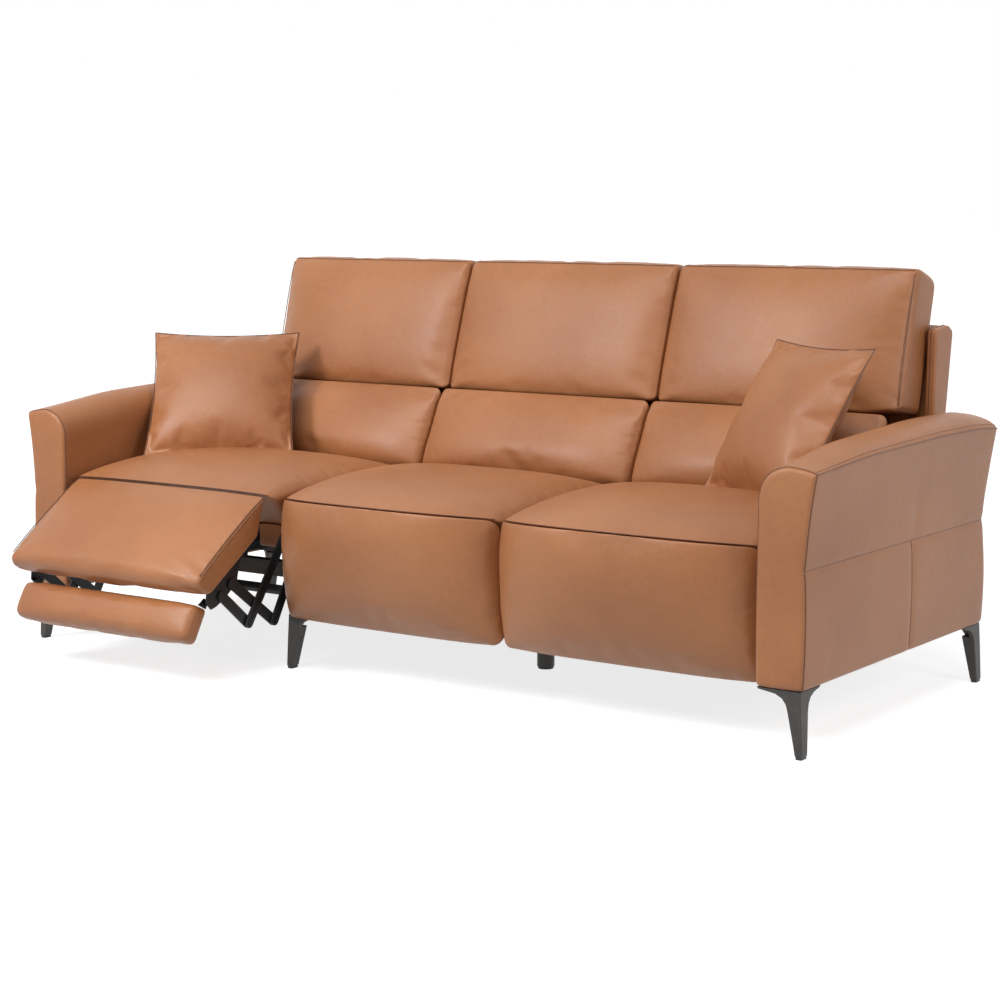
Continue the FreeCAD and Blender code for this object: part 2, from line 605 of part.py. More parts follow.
# Reclining seat: its front is mitred so that the legrest can fold down in front of it.
left_edge, right_edge = -dim.seat_outer, -half_column - gap
seat_centre, seat_half = (left_edge + right_edge) / 2, (right_edge - left_edge) / 2
mitre_y = dim.hinge_y + dim.hinge_z - dim.cushion_bottom + 6
swell = dim.seat_crown
left_edge_corners = seat_top(dim.hinge_y + 8, dim.hinge_z - 4, dim.seat_rear_y, dim.seat_rear_height - 12,
                             dim.cushion_bottom, mitre_y)
left_mid_corners = seat_top(dim.hinge_y + 5, dim.hinge_z + 4, dim.seat_rear_y, dim.seat_rear_height,
                            dim.cushion_bottom, mitre_y)
left_seat = cushion_shape(seat_centre, seat_half, left_edge_corners, left_mid_corners,
                          (swell - 6, 1, 0, 0), (swell + 8, 4, 0, 0))
keep(soft("left_seat_cushion", left_seat), "left_seat_cushion")
mech_half = dim.legrest_half - dim.plate - 3 * dim.layer_pitch - 6
left_springs = seat_deck("left", dim.mech_centre - mech_half, dim.mech_centre + mech_half, mitre_y + 8,
                         board_front_at_deck - dim.deck_rear_gap)
keep(soft("left_seat_springs", Part.makeCompound(left_springs)), "left_seat_springs")

# Corner panels: leather-wrapped blocks that close the seat's front corners.
corner_panel = block("corner_panel",
                     "Dim.mech_centre + Dim.legrest_half - Dim.plate - 3 * Dim.layer_pitch - 76",
                     "Dim.front_plane + Dim.hinge_y + 92", "Dim.cushion_bottom - 56", "70", "26",
                     "56 - Dim.fit_gap - Dim.spring_height - Dim.deck_thickness")
keep(both_sides("seat_corner_panels", corner_panel), "seat_corner_panels")


# Side plates of the mechanism: they carry the seat, the link pivots and the recline pivot.
def pivot(name):
    """A named pivot as a pair of expressions."""
    return (depth(f"{name}_y"), f"Dim.{name}_z")


def layer(index):
    """Low side of a link layer on the right hand, counted inward from the side plate."""
    return f"Dim.mech_centre + Dim.legrest_half - 2 - Dim.plate - {index} * Dim.layer_pitch"


plate_top = "Dim.cushion_bottom - Dim.fit_gap"
shoe = "Dim.rail_top + Dim.glide_rail_height + Dim.fit_gap"
plate_low = "Dim.rear_pivot_z - 16"


def at_y(offset):
    """Expression for a place this far behind the front faces of the arms."""
    return f"Dim.front_plane + {offset}"


side_points = [(at_y("Dim.lift_pivot_y - 21"), plate_top),
               (at_y("Dim.lift_pivot_y - 21"), "Dim.lift_pivot_z - 16"),
               (at_y("Dim.rear_pivot_y - 20"), plate_low)]
for foot in range(3):
    foot_front = at_y(f"Dim.glide_rail_y + Dim.shoe_start + {foot} * Dim.shoe_pitch")
    foot_rear = f"{foot_front} + Dim.shoe_length"
    side_points += [(foot_front, plate_low), (foot_front, shoe), (foot_rear, shoe), (foot_rear, plate_low)]
side_points += [(at_y("Dim.recline_pivot_y - 34"), plate_low),
                (at_y("Dim.recline_pivot_y + 22"), "Dim.recline_pivot_z - 22"),
                (at_y("Dim.recline_pivot_y + 22"), "Dim.recline_pivot_z + 22"),
                (at_y("Dim.recline_pivot_y - 22"), "Dim.recline_pivot_z + 22"),
                (at_y("Dim.recline_pivot_y - 44"), plate_top)]
side_plate = plate("side_plate_blank", layer(0), side_points, "Dim.plate")
pin_reach = "Dim.layer_pitch + Dim.plate"
pivot_pins = [rod(f"{name}_pin", layer(1), depth(f"{name}_y"), f"Dim.{name}_z", "Dim.pin_radius", pin_reach)
              for name in ("lift_pivot", "rear_pivot", "recline_pivot")]
right_side_plate = joined("right_side_plate", "MultiFuse", [side_plate] + pivot_pins)
keep(right_side_plate, "right_side_plate")
keep(mirrored("left_side_plate", right_side_plate, "Dim.mech_centre"), "left_side_plate")

# Links: two zigzags on each side lift the legrest as the drive turns the rear links.
snug = "Dim.pin_radius + Dim.pin_clearance"
loose = "Dim.pin_radius + Dim.open_clearance"
lift_link = link_bar("lift_link", layer(1), pivot("lift_pivot"), pivot("lift_joint"), snug, loose)
keep(both_sides("lift_links", lift_link), "lift_links")


def link_with_stub(name, outer, inner):
    """A link of the second layer, with a stub pin that reaches into the first."""
    bar = link_bar(f"{name}_bar", layer(2), pivot(outer), pivot(inner), snug, None)
    spot = (f"{layer(2)} + Dim.plate", depth(f"{inner}_y"), f"Dim.{inner}_z")
    stub = rod(f"{name}_stub", *spot, "Dim.pin_radius", "Dim.layer_pitch")
    collar = rod(f"{name}_collar", *spot, "Dim.pin_radius + 5", "Dim.layer_pitch - Dim.plate - 0.3")
    both = joined(f"{name}_right", "MultiFuse", [bar, stub, collar])
    keep(both_sides(f"{name}s", both), f"{name}s")


link_with_stub("front_link", "front_pivot", "lift_joint")
link_with_stub("cross_link", "cross_pivot", "rear_joint")
rear_bar = link_bar("rear_link", layer(1), pivot("rear_pivot"), pivot("rear_joint"), snug, loose)
rear_run = "sqrt((Dim.rear_joint_y - Dim.rear_pivot_y)^2 + (Dim.rear_joint_z - Dim.rear_pivot_z)^2)"
share = f"(Dim.drive_tube_at / {rear_run})"
tube_y = f"Dim.front_plane + Dim.rear_pivot_y + (Dim.rear_joint_y - Dim.rear_pivot_y) * {share}"
tube_z = f"Dim.rear_pivot_z + (Dim.rear_joint_z - Dim.rear_pivot_z) * {share}"
tube_start = "Dim.mech_centre - Dim.legrest_half + 2 + Dim.plate + Dim.layer_pitch"
tube_length = "2 * (Dim.legrest_half - 2 - Dim.plate - Dim.layer_pitch)"
tube_outer = rod("drive_tube_outer", tube_start, tube_y, tube_z, "Dim.drive_tube_radius", tube_length)
tube_inner = rod("drive_tube_inner", tube_start, tube_y, tube_z, "Dim.drive_tube_radius - Dim.drive_tube_wall",
                 tube_length)
drive_tube = cut("drive_tube", tube_outer, tube_inner)
left_rear_bar = mirrored("rear_link_left", rear_bar, "Dim.mech_centre")
keep(joined("rear_links", "Compound", [rear_bar, left_rear_bar, drive_tube]), "rear_links")

# Drive: a motor turns the screw in a fixed track, and the nut's fork pushes the drive tube.
track_x = "Dim.mech_centre - Dim.track_size / 2"
track_bar = block("track_bar", track_x, depth("track_y"), "Dim.track_bottom",
                  "Dim.track_size", "Dim.track_length", "Dim.track_size")
deck_low = "Dim.cushion_bottom - Dim.fit_gap - Dim.spring_height - Dim.deck_thickness"
track_top = "(Dim.track_bottom + Dim.track_size)"
track_hanger = block("track_hanger", track_x, depth("track_y") + " + Dim.hanger_at", track_top,
                     "Dim.track_size", "8", f"{deck_low} - {track_top}")
keep(joined("drive_track", "MultiFuse", [track_bar, track_hanger]), "drive_track")
motor_y = depth("track_y") + " + Dim.track_length"
motor_z = "Dim.track_bottom + Dim.track_size / 2"
gearbox = block("gearbox", "Dim.mech_centre - 30", motor_y, f"{motor_z} - 34", "60", "70", "68")
motor_can = rod("motor_can", "Dim.mech_centre + 30", f"{motor_y} + 35", motor_z, "Dim.motor_radius",
                "Dim.motor_length")
motor_hanger = block("motor_hanger", "Dim.mech_centre - 16", f"{motor_y} + 31", f"{motor_z} + 34", "32", "8",
                     f"{deck_low} - ({motor_z}) - 34")
keep(joined("drive_motor", "MultiFuse", [gearbox, motor_can, motor_hanger]), "drive_motor")

nut_y = f"{tube_y} + 150"
nut_block = block("nut_block", f"{track_x} - Dim.nut_wall", nut_y, "Dim.track_bottom - Dim.nut_wall",
                  "Dim.track_size + 2 * Dim.nut_wall", "Dim.nut_length", "Dim.track_size + 2 * Dim.nut_wall")
nut_bore = block("nut_bore", f"{track_x} - Dim.fit_gap", nut_y, "Dim.track_bottom - Dim.fit_gap",
                 "Dim.track_size + 2 * Dim.fit_gap", "Dim.nut_length", "Dim.track_size + 2 * Dim.fit_gap")
nut_sleeve = cut("nut_sleeve", nut_block, nut_bore)
slot_half = "(Dim.drive_tube_radius + Dim.fork_clearance)"
slot_front, slot_rear = f"{tube_y} - {slot_half}", f"{tube_y} + {slot_half}"
slot_end = f"{tube_z} + {slot_half} + 12"
prong_tip = f"{tube_z} - 26"
nut_rear = f"{nut_y} + Dim.nut_length"
nut_under = "Dim.track_bottom - Dim.nut_wall - 9"
fork = plate("fork", "Dim.mech_centre - 5", [
    (f"{slot_front} - 11", prong_tip), (slot_front, prong_tip), (slot_front, slot_end), (slot_rear, slot_end),
    (slot_rear, prong_tip), (f"{slot_rear} + 11", prong_tip), (f"{slot_rear} + 14", f"{tube_z} + 6"),
    (nut_y, nut_under), (nut_rear, nut_under), (nut_rear, "Dim.track_bottom - 1"),
    (nut_y, "Dim.track_bottom - 1"), (f"{slot_front} - 11", f"{slot_end} + 12")], "10")
fork_relief = block("fork_relief", f"{track_x} - Dim.fit_gap", tube_y, "Dim.track_bottom - Dim.fit_gap",
                    "Dim.track_size + 2 * Dim.fit_gap", "Dim.track_length", "Dim.track_size + 2 * Dim.fit_gap")
keep(joined("drive_nut", "MultiFuse", [nut_sleeve, cut("fork_clear", fork, fork_relief)]), "drive_nut")

# Legrest: a stuffed pad on steel brackets, hinged at the seat's front seam.
drop = math.radians(dim.legrest_drop)
ALONG = Vector(0, -math.cos(drop), -math.sin(drop))
UNDER = Vector(0, math.sin(drop), -math.cos(drop))
HINGE = Vector(0, back(dim.hinge_y), dim.hinge_z)


def on_legrest(along, under):
    """Y and Z of a place on the legrest: along it from the hinge, and under its top."""
    spot = HINGE + ALONG * along + UNDER * under
    return (spot.y, spot.z)


thick = dim.legrest_thickness
reach = dim.legrest_length
rest_edge = [on_legrest(6, 8), on_legrest(reach - 10, 12), on_legrest(reach - 36, thick),
             on_legrest(thick + 4, thick)]
rest_middle = [on_legrest(6, 3), on_legrest(reach, 4), on_legrest(reach - 34, thick),
               on_legrest(thick + 4, thick)]
legrest = cushion_shape(dim.mech_centre, dim.legrest_half, rest_edge, rest_middle, (5, 8, 0, 0),
                        (13, 12, 0, 0), power=4)
keep(soft("legrest_pad", legrest), "legrest_pad")


def legrest_spot(along, under):
    """The same place as a pair of expressions."""
    turn = "Dim.legrest_drop"
    return (f"Dim.front_plane + Dim.hinge_y - ({along}) * cos({turn} * 1deg) + ({under}) * sin({turn} * 1deg)",
            f"Dim.hinge_z - ({along}) * sin({turn} * 1deg) - ({under}) * cos({turn} * 1deg)")


seat_under = "Dim.legrest_thickness + Dim.fit_gap"
bracket_points = [legrest_spot("110", seat_under), legrest_spot("Dim.legrest_length - 42", seat_under),
                  legrest_spot("Dim.legrest_length - 24", "90"), legrest_spot("Dim.legrest_length - 28", "112"),
                  legrest_spot("Dim.legrest_length - 46", "118"), legrest_spot("230", "122"),
                  legrest_spot("180", "120"), legrest_spot("150", "92")]
bracket = plate("bracket_plate", layer(3), bracket_points, "Dim.plate")
bracket_pins = [rod(f"{name}_pin", layer(3), depth(f"{name}_y"), f"Dim.{name}_z", "Dim.pin_radius", pin_reach)
                for name in ("front_pivot", "cross_pivot")]
flap_pin = rod("flap_pin", f"{layer(3)} - 20", depth("flap_pivot_y"), "Dim.flap_pivot_z",
               "Dim.pin_radius", "20")
right_bracket = joined("right_bracket", "MultiFuse", [bracket, flap_pin] + bracket_pins)
keep(both_sides("legrest_brackets", right_bracket), "legrest_brackets")

# Flap: a boxed pad that flips out from under the legrest on two lugs.
tilt = math.radians(dim.flap_tilt)
FLAP_DOWN = Vector(0, -math.cos(tilt), -math.sin(tilt))
FLAP_OUT = Vector(0, -math.sin(tilt), math.cos(tilt))
FLAP_PIVOT = Vector(0, back(dim.flap_pivot_y), dim.flap_pivot_z)


def on_flap(down, out):
    """Y and Z of a place on the flap: down its face from the hinge, and out from it."""
    spot = FLAP_PIVOT + FLAP_DOWN * down + FLAP_OUT * out
    return (spot.y, spot.z)


start, end = dim.flap_start, dim.flap_start + dim.flap_height
face, rear = dim.flap_face, dim.flap_face - dim.flap_thickness
flap_edge = [on_flap(start + 5, face - 7), on_flap(end - 5, face - 7), on_flap(end - 4, rear + 3),
             on_flap(start, rear + 3)]
flap_middle = [on_flap(start, face - 2), on_flap(end, face - 2), on_flap(end, rear), on_flap(start, rear)]
keep(soft("flap_pad", cushion_shape(dim.mech_centre, dim.flap_half, flap_edge, flap_middle, (2, 3, 0, 0),
                                    (6, 5, 0, 0), power=6)), "flap_pad")


def flap_spot(down, out):
    """The same place as a pair of expressions."""
    turn = "Dim.flap_tilt"
    return (f"{depth('flap_pivot_y')} - ({down}) * cos({turn} * 1deg) - ({out}) * sin({turn} * 1deg)",
            f"Dim.flap_pivot_z - ({down}) * sin({turn} * 1deg) + ({out}) * cos({turn} * 1deg)")


lug = plate("flap_lug", f"{layer(3)} - 18", [
    flap_spot("-9", "-9"), flap_spot("Dim.flap_start - Dim.fit_gap", "-9"),
    flap_spot("Dim.flap_start - Dim.fit_gap", "18"), flap_spot("2", "12"), flap_spot("-9", "7")], "Dim.plate",
    [(depth("flap_pivot_y"), "Dim.flap_pivot_z", snug)])
keep(both_sides("flap_lugs", lug), "flap_lugs")


# Backs: a lumbar cushion and board, a rear shell, and a headrest that hinges at the crease.
def board_front(z):
    """Front face of the upright board at this height."""
    return dim.board_foot_y + dim.board_slope * (z - dim.recline_pivot_z)


def shell_rear(z):
    """Rear face of a shell at this height."""
    slope = (dim.shell_top_y - dim.shell_foot_y) / (dim.shell_top - dim.shell_bottom)
    return dim.shell_foot_y + slope * (z - dim.shell_bottom)


def board_spot(z, offset="0"):
    """Expressions for a place on the board's front face, or behind it."""
    return (f"Dim.front_plane + Dim.board_foot_y + Dim.board_slope * ({z} - Dim.recline_pivot_z) + {offset}", z)


def shell_front_spot(z):
    """Expressions for a place just in front of a shell."""
    slope = "(Dim.shell_top_y - Dim.shell_foot_y) / (Dim.shell_top - Dim.shell_bottom)"
    return (f"Dim.front_plane + Dim.shell_foot_y + {slope} * ({z} - Dim.shell_bottom) - Dim.shell_thickness"
            " - Dim.fit_gap", z)


hinge_y, hinge_z = dim.headrest_pivot_y, dim.headrest_pivot_z
crease_reach = math.hypot(hinge_y - dim.crease_y, dim.crease_height - hinge_z)
sweep = math.radians(dim.headrest_travel)
clear = crease_reach + 6


def under_headrest(angle):
    """A place on the arc that the headrest's lower front edge sweeps, with clearance."""
    return (back(hinge_y - clear * math.cos(angle)), hinge_z - clear * math.sin(angle))


def lumbar_shape(centre_x, half):
    """A lumbar cushion, hollowed on top along the arc that the headrest sweeps."""
    wires = []
    low, front_y = dim.lumbar_bottom, dim.lumbar_front_y
    for station in STATIONS:
        full = 1 - abs(station) ** 3
        tip = under_headrest(math.radians(11))
        turn = under_headrest(sweep + math.radians(3))
        mid = under_headrest((sweep + math.radians(14)) / 2)
        rear_low = (back(board_front(low) - 1), low)
        rear_top = (back(board_front(turn[1] - 4) - 1), turn[1] - 4)
        front = (back(front_y + 26 * (1 - full)), low + 34)
        under = (back(front_y + 40), low + 2)
        swell_by = dim.lumbar_swell * (0.35 + 0.65 * full)
        x = centre_x + station * half
        p = [Vector(x, y, z) for y, z in (tip, turn, rear_top, rear_low, under, front)]
        run = p[0] - p[5]
        out = Vector(0, -run.z, run.y).normalize()
        belly = swollen_side(p[5], p[0], swell_by, out, 4)
        border = [p[0], Vector(x, mid[0], mid[1])] + p[1:5] + belly
        wires.append(Part.makePolygon(border + border[:1]))
    return Part.makeLoft(wires, True, True)


def headrest_corners(seam):
    """Corners of a headrest's section where its front seam lies this far behind its middle."""
    low = dim.crease_height
    return [(back(dim.crease_y + seam), low + 0.15 * seam),
            (back(dim.headrest_top_y + 0.4 * seam), dim.headrest_top),
            (back(dim.headrest_rear_top_y), dim.headrest_rear_top), (back(dim.headrest_rear_y), low - 12)]


def headrest_shape(centre_x, half, index):
    """A headrest: the end ones curve back at the sofa's ends, the rest stays nearly flat."""
    ends = [headrest_corners(dim.headrest_seam if index == side else dim.headrest_tuck) for side in (-1, 1)]
    return cushion_shape(centre_x, half, ends[0], headrest_corners(0), (4, 6, 0, 0), (14, 10, 0, 0), power=5,
                         right_edge=ends[1])


def back_column(name, index):
    """One seat's back: every piece of it from the lumbar cushion to the headrest."""
    centre = index * dim.column_pitch
    centre_text = f"({index} * Dim.column_pitch)"
    half = dim.column_pitch / 2 - dim.running_gap / 2
    keep(soft(f"{name}_lumbar_cushion", lumbar_shape(centre, half)), f"{name}_lumbar_cushion")

    # The headrest has two slots for its hinge arms.
    pad_form = soft(f"{name}_headrest_pad", headrest_shape(centre, half, index))
    reach = "Dim.column_pitch / 2 - Dim."
    arm_at = {side: f"{centre_text} + ({side}) * ({reach}hinge_arm_in)" for side in (-1, 1)}
    rib_at = {side: f"{centre_text} + ({side}) * ({reach}rib_in)" for side in (-1, 1)}
    slots = [block(f"{name}_slot_{side}", f"{arm_at[side]} - 13",
                   depth("headrest_pivot_y") + " - 66", "Dim.headrest_pivot_z - 60", "26", "92", "88")
             for side in (-1, 1)]
    keep(cut(f"{name}_headrest", pad_form, joined(f"{name}_slots", "Compound", slots)), f"{name}_headrest")

    # Upright board with its ribs, and the hinge lugs that reach up to the headrest.
    low = "Dim.board_bottom" if index < 0 else "Dim.rail_top"
    top = "Dim.board_top"
    board_half = "(Dim.column_pitch / 2 - 16)"
    if index < 0:
        board_half = "(Dim.legrest_half - 2 - Dim.plate - Dim.layer_pitch)"
    board_centre = "Dim.mech_centre" if index < 0 else centre_text
    board = plate(f"{name}_board", f"{board_centre} - {board_half}",
                  [board_spot(low), board_spot(low, "Dim.board_thickness"),
                   board_spot(top, "Dim.board_thickness"), board_spot(top)], f"2 * {board_half}")
    pieces = [board]
    for side in (-1, 1):
        pieces.append(plate(f"{name}_rib_{side}", f"{rib_at[side]} - 9", [
            board_spot("Dim.board_bottom + 10", "Dim.board_thickness - 1"),
            shell_front_spot("Dim.board_bottom + 10"), shell_front_spot("Dim.board_top"),
            board_spot("Dim.board_top", "Dim.board_thickness - 1")], "18"))
        pieces.append(plate(f"{name}_lug_{side}", f"{arm_at[side]} - Dim.plate - 0.3", [
            board_spot("Dim.board_top - 60", "Dim.board_thickness - 1"),
            board_spot("Dim.board_top - 60", "Dim.board_thickness + 22"),
            (depth("headrest_pivot_y") + " + 10", "Dim.headrest_pivot_z - 12"),
            (depth("headrest_pivot_y") + " + 10", "Dim.headrest_pivot_z + 10"),
            (depth("headrest_pivot_y") + " - 10", "Dim.headrest_pivot_z + 10"),
            (depth("headrest_pivot_y") + " - 14", "Dim.headrest_pivot_z - 16"),
            board_spot("Dim.board_top - 4", "Dim.board_thickness - 1")], "Dim.plate"))
        pieces.append(rod(f"{name}_lug_pin_{side}", f"{arm_at[side]} - 1",
                          depth("headrest_pivot_y"), "Dim.headrest_pivot_z", "Dim.pin_radius", "8"))
    keep(joined(f"{name}_back_frame", "MultiFuse", pieces), f"{name}_back_frame")

    # Hinge arms: plates on the pins that carry the headrest from inside its slots.
    arms = [plate(f"{name}_arm_{side}", f"{arm_at[side]} + 1.5", [
        (depth("headrest_pivot_y") + " - 9", "Dim.headrest_pivot_z - 9"),
        (depth("headrest_pivot_y") + " + 9", "Dim.headrest_pivot_z - 9"),
        (depth("headrest_pivot_y") + " + 12", "Dim.headrest_pivot_z + 27.7"),
        (depth("headrest_pivot_y") + " - 40", "Dim.headrest_pivot_z + 27.7"),
        (depth("headrest_pivot_y") + " - 40", "Dim.headrest_pivot_z + 18")], "Dim.plate",
        [(depth("headrest_pivot_y"), "Dim.headrest_pivot_z", snug)]) for side in (-1, 1)]
    keep(joined(f"{name}_headrest_arms", "Compound", arms), f"{name}_headrest_arms")

    # Rear shell: a padded panel, with a wing beside the headrest on the end seats.
    def shell_point(z, inward):
        return (back(shell_rear(z) - inward), z)

    depth_of = dim.shell_thickness
    profile = [shell_point(dim.shell_bottom, depth_of), shell_point(dim.shell_bottom, 0),
               shell_point(dim.shell_top - 14, 0), shell_point(dim.shell_top, depth_of / 2),
               shell_point(dim.shell_top - 10, depth_of)]
    outer = dim.seat_outer + dim.running_gap
    inner = outer - dim.shell_wing_width
    left = -inner if index < 0 else centre - dim.column_pitch / 2 + dim.running_gap / 2
    right = inner if index > 0 else centre + dim.column_pitch / 2 - dim.running_gap / 2
    panel = [Vector(left, y, z) for y, z in profile]
    faces = [Part.Face(Part.makePolygon(panel + panel[:1])).extrude(X_AXIS * (right - left))]
    if index:
        near = (back(dim.shell_wing_y), dim.crease_height - 40)
        foot = near[1] - 60
        wing = [(back(shell_rear(near[1]) - 30), foot), (back(shell_rear(foot)), foot),
                shell_point(dim.shell_top - 14, 0), shell_point(dim.shell_top, 26),
                (near[0] + 6, dim.shell_top - 8), near]
        side = [Vector(inner if index > 0 else -outer, y, z) for y, z in wing]
        faces.append(Part.Face(Part.makePolygon(side + side[:1])).extrude(X_AXIS * dim.shell_wing_width))
    shell = faces[0].multiFuse(faces[1:]).removeSplitter() if len(faces) > 1 else faces[0]
    keep(soft(f"{name}_back_shell", shell), f"{name}_back_shell")


for column, place in (("left", -1), ("middle", 0), ("right", 1)):
    back_column(column, place)

# Recline brackets: they join the reclining board to the pivot pins on the side plates.
recline_bracket = plate("recline_bracket", layer(1), [
    (depth("recline_pivot_y") + " - 14", "Dim.recline_pivot_z - 40"),
    (depth("recline_pivot_y") + " + 12", "Dim.recline_pivot_z - 40"),
    (depth("recline_pivot_y") + " + 26", "Dim.recline_pivot_z + 70"),
    (depth("recline_pivot_y") + " - 4", "Dim.recline_pivot_z + 70")], "Dim.plate",
    [(depth("recline_pivot_y"), "Dim.recline_pivot_z", snug)])
keep(both_sides("recline_brackets", recline_bracket), "recline_brackets")

# Rear skirt: the fixed panel below the shells, closing the body between the arms.
keep(block("rear_skirt_panel", "-Dim.inner_half_width",
           "Dim.front_plane + Dim.arm_depth - Dim.skirt_thickness", "Dim.body_bottom",
           "2 * Dim.inner_half_width", "Dim.skirt_thickness", "Dim.skirt_top - Dim.body_bottom"),
     "rear_skirt_panel")


# Loose cushions: knife-edged squares with pointed corners and drawn-in sides.
def throw_cushion(label, place, turn, lean):
    """A loose cushion with its middle at place, turned about the vertical and leaning back."""
    half, fat, edge = dim.throw_side / 2, dim.throw_swell, dim.throw_edge
    wires = []
    for station in (-1, -0.8, -0.4, 0.4, 0.8, 1):
        full = 1 - abs(station) ** 2
        high = half - dim.throw_pinch * full
        corners = [(-edge, high), (edge, high), (edge, -high), (-edge, -high)]
        bulge = (fat - edge) * full + 1
        wires.append(section(station * (half - 4), corners, (0, bulge, 0, bulge), (1, 6, 1, 6)))
    item = soft(label, Part.makeLoft(wires, True, True))
    turned = Rotation(Vector(0, 0, 1), turn).multiply(Rotation(X_AXIS, -lean))
    item.Placement = Placement(Vector(place[0], back(place[1]), place[2]), turned)
    return keep(item, label)


left_place = (dim.left_throw_in - dim.seat_outer, dim.seat_rear_y - dim.left_throw_front,
              dim.seat_rear_height + dim.left_throw_rise)
right_place = (dim.seat_outer - dim.right_throw_in, dim.seat_rear_y - dim.right_throw_front,
               dim.seat_rear_height + dim.right_throw_rise)
throw_cushion("left_throw_cushion", left_place, dim.left_throw_turn, dim.left_throw_lean)
throw_cushion("right_throw_cushion", right_place, dim.right_throw_turn, dim.right_throw_lean)

doc.recompute()

bad = [item.Name for item in doc.Objects if "Invalid" in item.State or "Error" in item.State]
if bad:
    raise RuntimeError(f"features in error: {bad}")
for node in nodes:
    shape = node.Shape
    if shape.isNull() or not shape.isValid() or not shape.Solids:
        raise RuntimeError(f"{node.Label} has no valid solid")
    shape.exportStep(f"parts/{node.Label}.step")
print("nodes written:", len(nodes))
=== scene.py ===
import math

import bmesh
import bpy
import numpy as np
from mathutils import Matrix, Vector


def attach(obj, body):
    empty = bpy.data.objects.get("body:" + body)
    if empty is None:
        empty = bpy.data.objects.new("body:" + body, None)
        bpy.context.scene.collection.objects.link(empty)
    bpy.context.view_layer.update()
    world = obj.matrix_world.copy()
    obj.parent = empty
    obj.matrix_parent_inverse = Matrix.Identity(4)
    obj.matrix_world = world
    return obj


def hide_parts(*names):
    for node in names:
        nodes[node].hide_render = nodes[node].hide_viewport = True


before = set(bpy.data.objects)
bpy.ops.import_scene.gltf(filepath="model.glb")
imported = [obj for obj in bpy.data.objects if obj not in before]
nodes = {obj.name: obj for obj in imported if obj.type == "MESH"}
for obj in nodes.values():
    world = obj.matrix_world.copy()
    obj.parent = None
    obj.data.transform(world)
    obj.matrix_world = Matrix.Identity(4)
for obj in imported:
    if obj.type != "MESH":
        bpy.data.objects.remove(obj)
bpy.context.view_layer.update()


# The ladder under the seats and the boards inside arms, seats and backs are dark stained pine,
# glued and stapled. They keep their solids and get a dark stain with grain along the sofa.
def shader(name):
    """An empty node material: its tree, its Principled shader and the Object coordinates."""
    material = bpy.data.materials.new(name)
    material.use_nodes = True
    tree = material.node_tree
    surface = next(n for n in tree.nodes if n.type == "BSDF_PRINCIPLED")
    place = tree.nodes.new("ShaderNodeTexCoord")
    return material, tree, surface, place.outputs["Object"]


def stretched(tree, place, x, y, z):
    """The coordinates scaled by x, y and z, which draws a pattern out along one way."""
    mapping = tree.nodes.new("ShaderNodeMapping")
    mapping.inputs["Scale"].default_value = (x, y, z)
    tree.links.new(place, mapping.inputs["Vector"])
    return mapping.outputs["Vector"]


def noise(tree, place, scale, detail=4.0, rough=0.55):
    """Fractal noise with this many features to a metre."""
    node = tree.nodes.new("ShaderNodeTexNoise")
    node.inputs["Scale"].default_value = scale
    node.inputs["Detail"].default_value = detail
    node.inputs["Roughness"].default_value = rough
    tree.links.new(place, node.inputs["Vector"])
    return node.outputs["Fac"]


def ramp(tree, value, stops):
    """Colours laid along a value from 0 to 1."""
    node = tree.nodes.new("ShaderNodeValToRGB")
    elements = node.color_ramp.elements
    for i, (spot, colour) in enumerate(stops):
        element = elements[i] if i < 2 else elements.new(spot)
        element.position = spot
        element.color = (*colour, 1)
    tree.links.new(value, node.inputs["Fac"])
    return node.outputs["Color"]


def rescaled(tree, value, low, high):
    """A 0 to 1 value moved to the range low to high."""
    node = tree.nodes.new("ShaderNodeMapRange")
    node.inputs["From Min"].default_value = 0.3
    node.inputs["From Max"].default_value = 0.7
    node.inputs["To Min"].default_value = low
    node.inputs["To Max"].default_value = high
    tree.links.new(value, node.inputs["Value"])
    return node.outputs["Result"]


def bumped(tree, surface, height, distance, strength=1.0, under=None):
    """Relief of this many metres on the surface, laid over an earlier relief."""
    node = tree.nodes.new("ShaderNodeBump")
    node.inputs["Distance"].default_value = distance
    node.inputs["Strength"].default_value = strength
    tree.links.new(height, node.inputs["Height"])
    if under is not None:
        tree.links.new(under, node.inputs["Normal"])
    tree.links.new(node.outputs["Normal"], surface.inputs["Normal"])
    return node.outputs["Normal"]


pine, tree, surface, place = shader("stained_pine")
rings_of_wood = noise(tree, stretched(tree, place, 1.2, 14, 14), 5, 6, 0.62)
pores = noise(tree, stretched(tree, place, 6, 160, 160), 6, 2, 0.5)
tree.links.new(ramp(tree, rings_of_wood, [(0.3, (0.020, 0.014, 0.010)), (0.7, (0.042, 0.029, 0.019))]),
               surface.inputs["Base Color"])
tree.links.new(rescaled(tree, pores, 0.55, 0.75), surface.inputs["Roughness"])
bumped(tree, surface, pores, 0.0004)


def finish_node(name, material):
    """Give a node's own solid a finish."""
    slots = nodes[name].data.materials
    if len(slots):
        slots[0] = material
    else:
        slots.append(material)


for name in ("left_divider_rail", "right_divider_rail", "front_base_rail", "centre_base_rail",
             "recliner_cross_rail", "rear_base_rail", "arm_frames", "left_seat_deck", "middle_seat_deck",
             "right_seat_deck", "left_back_frame", "middle_back_frame", "right_back_frame"):
    finish_node(name, pine)


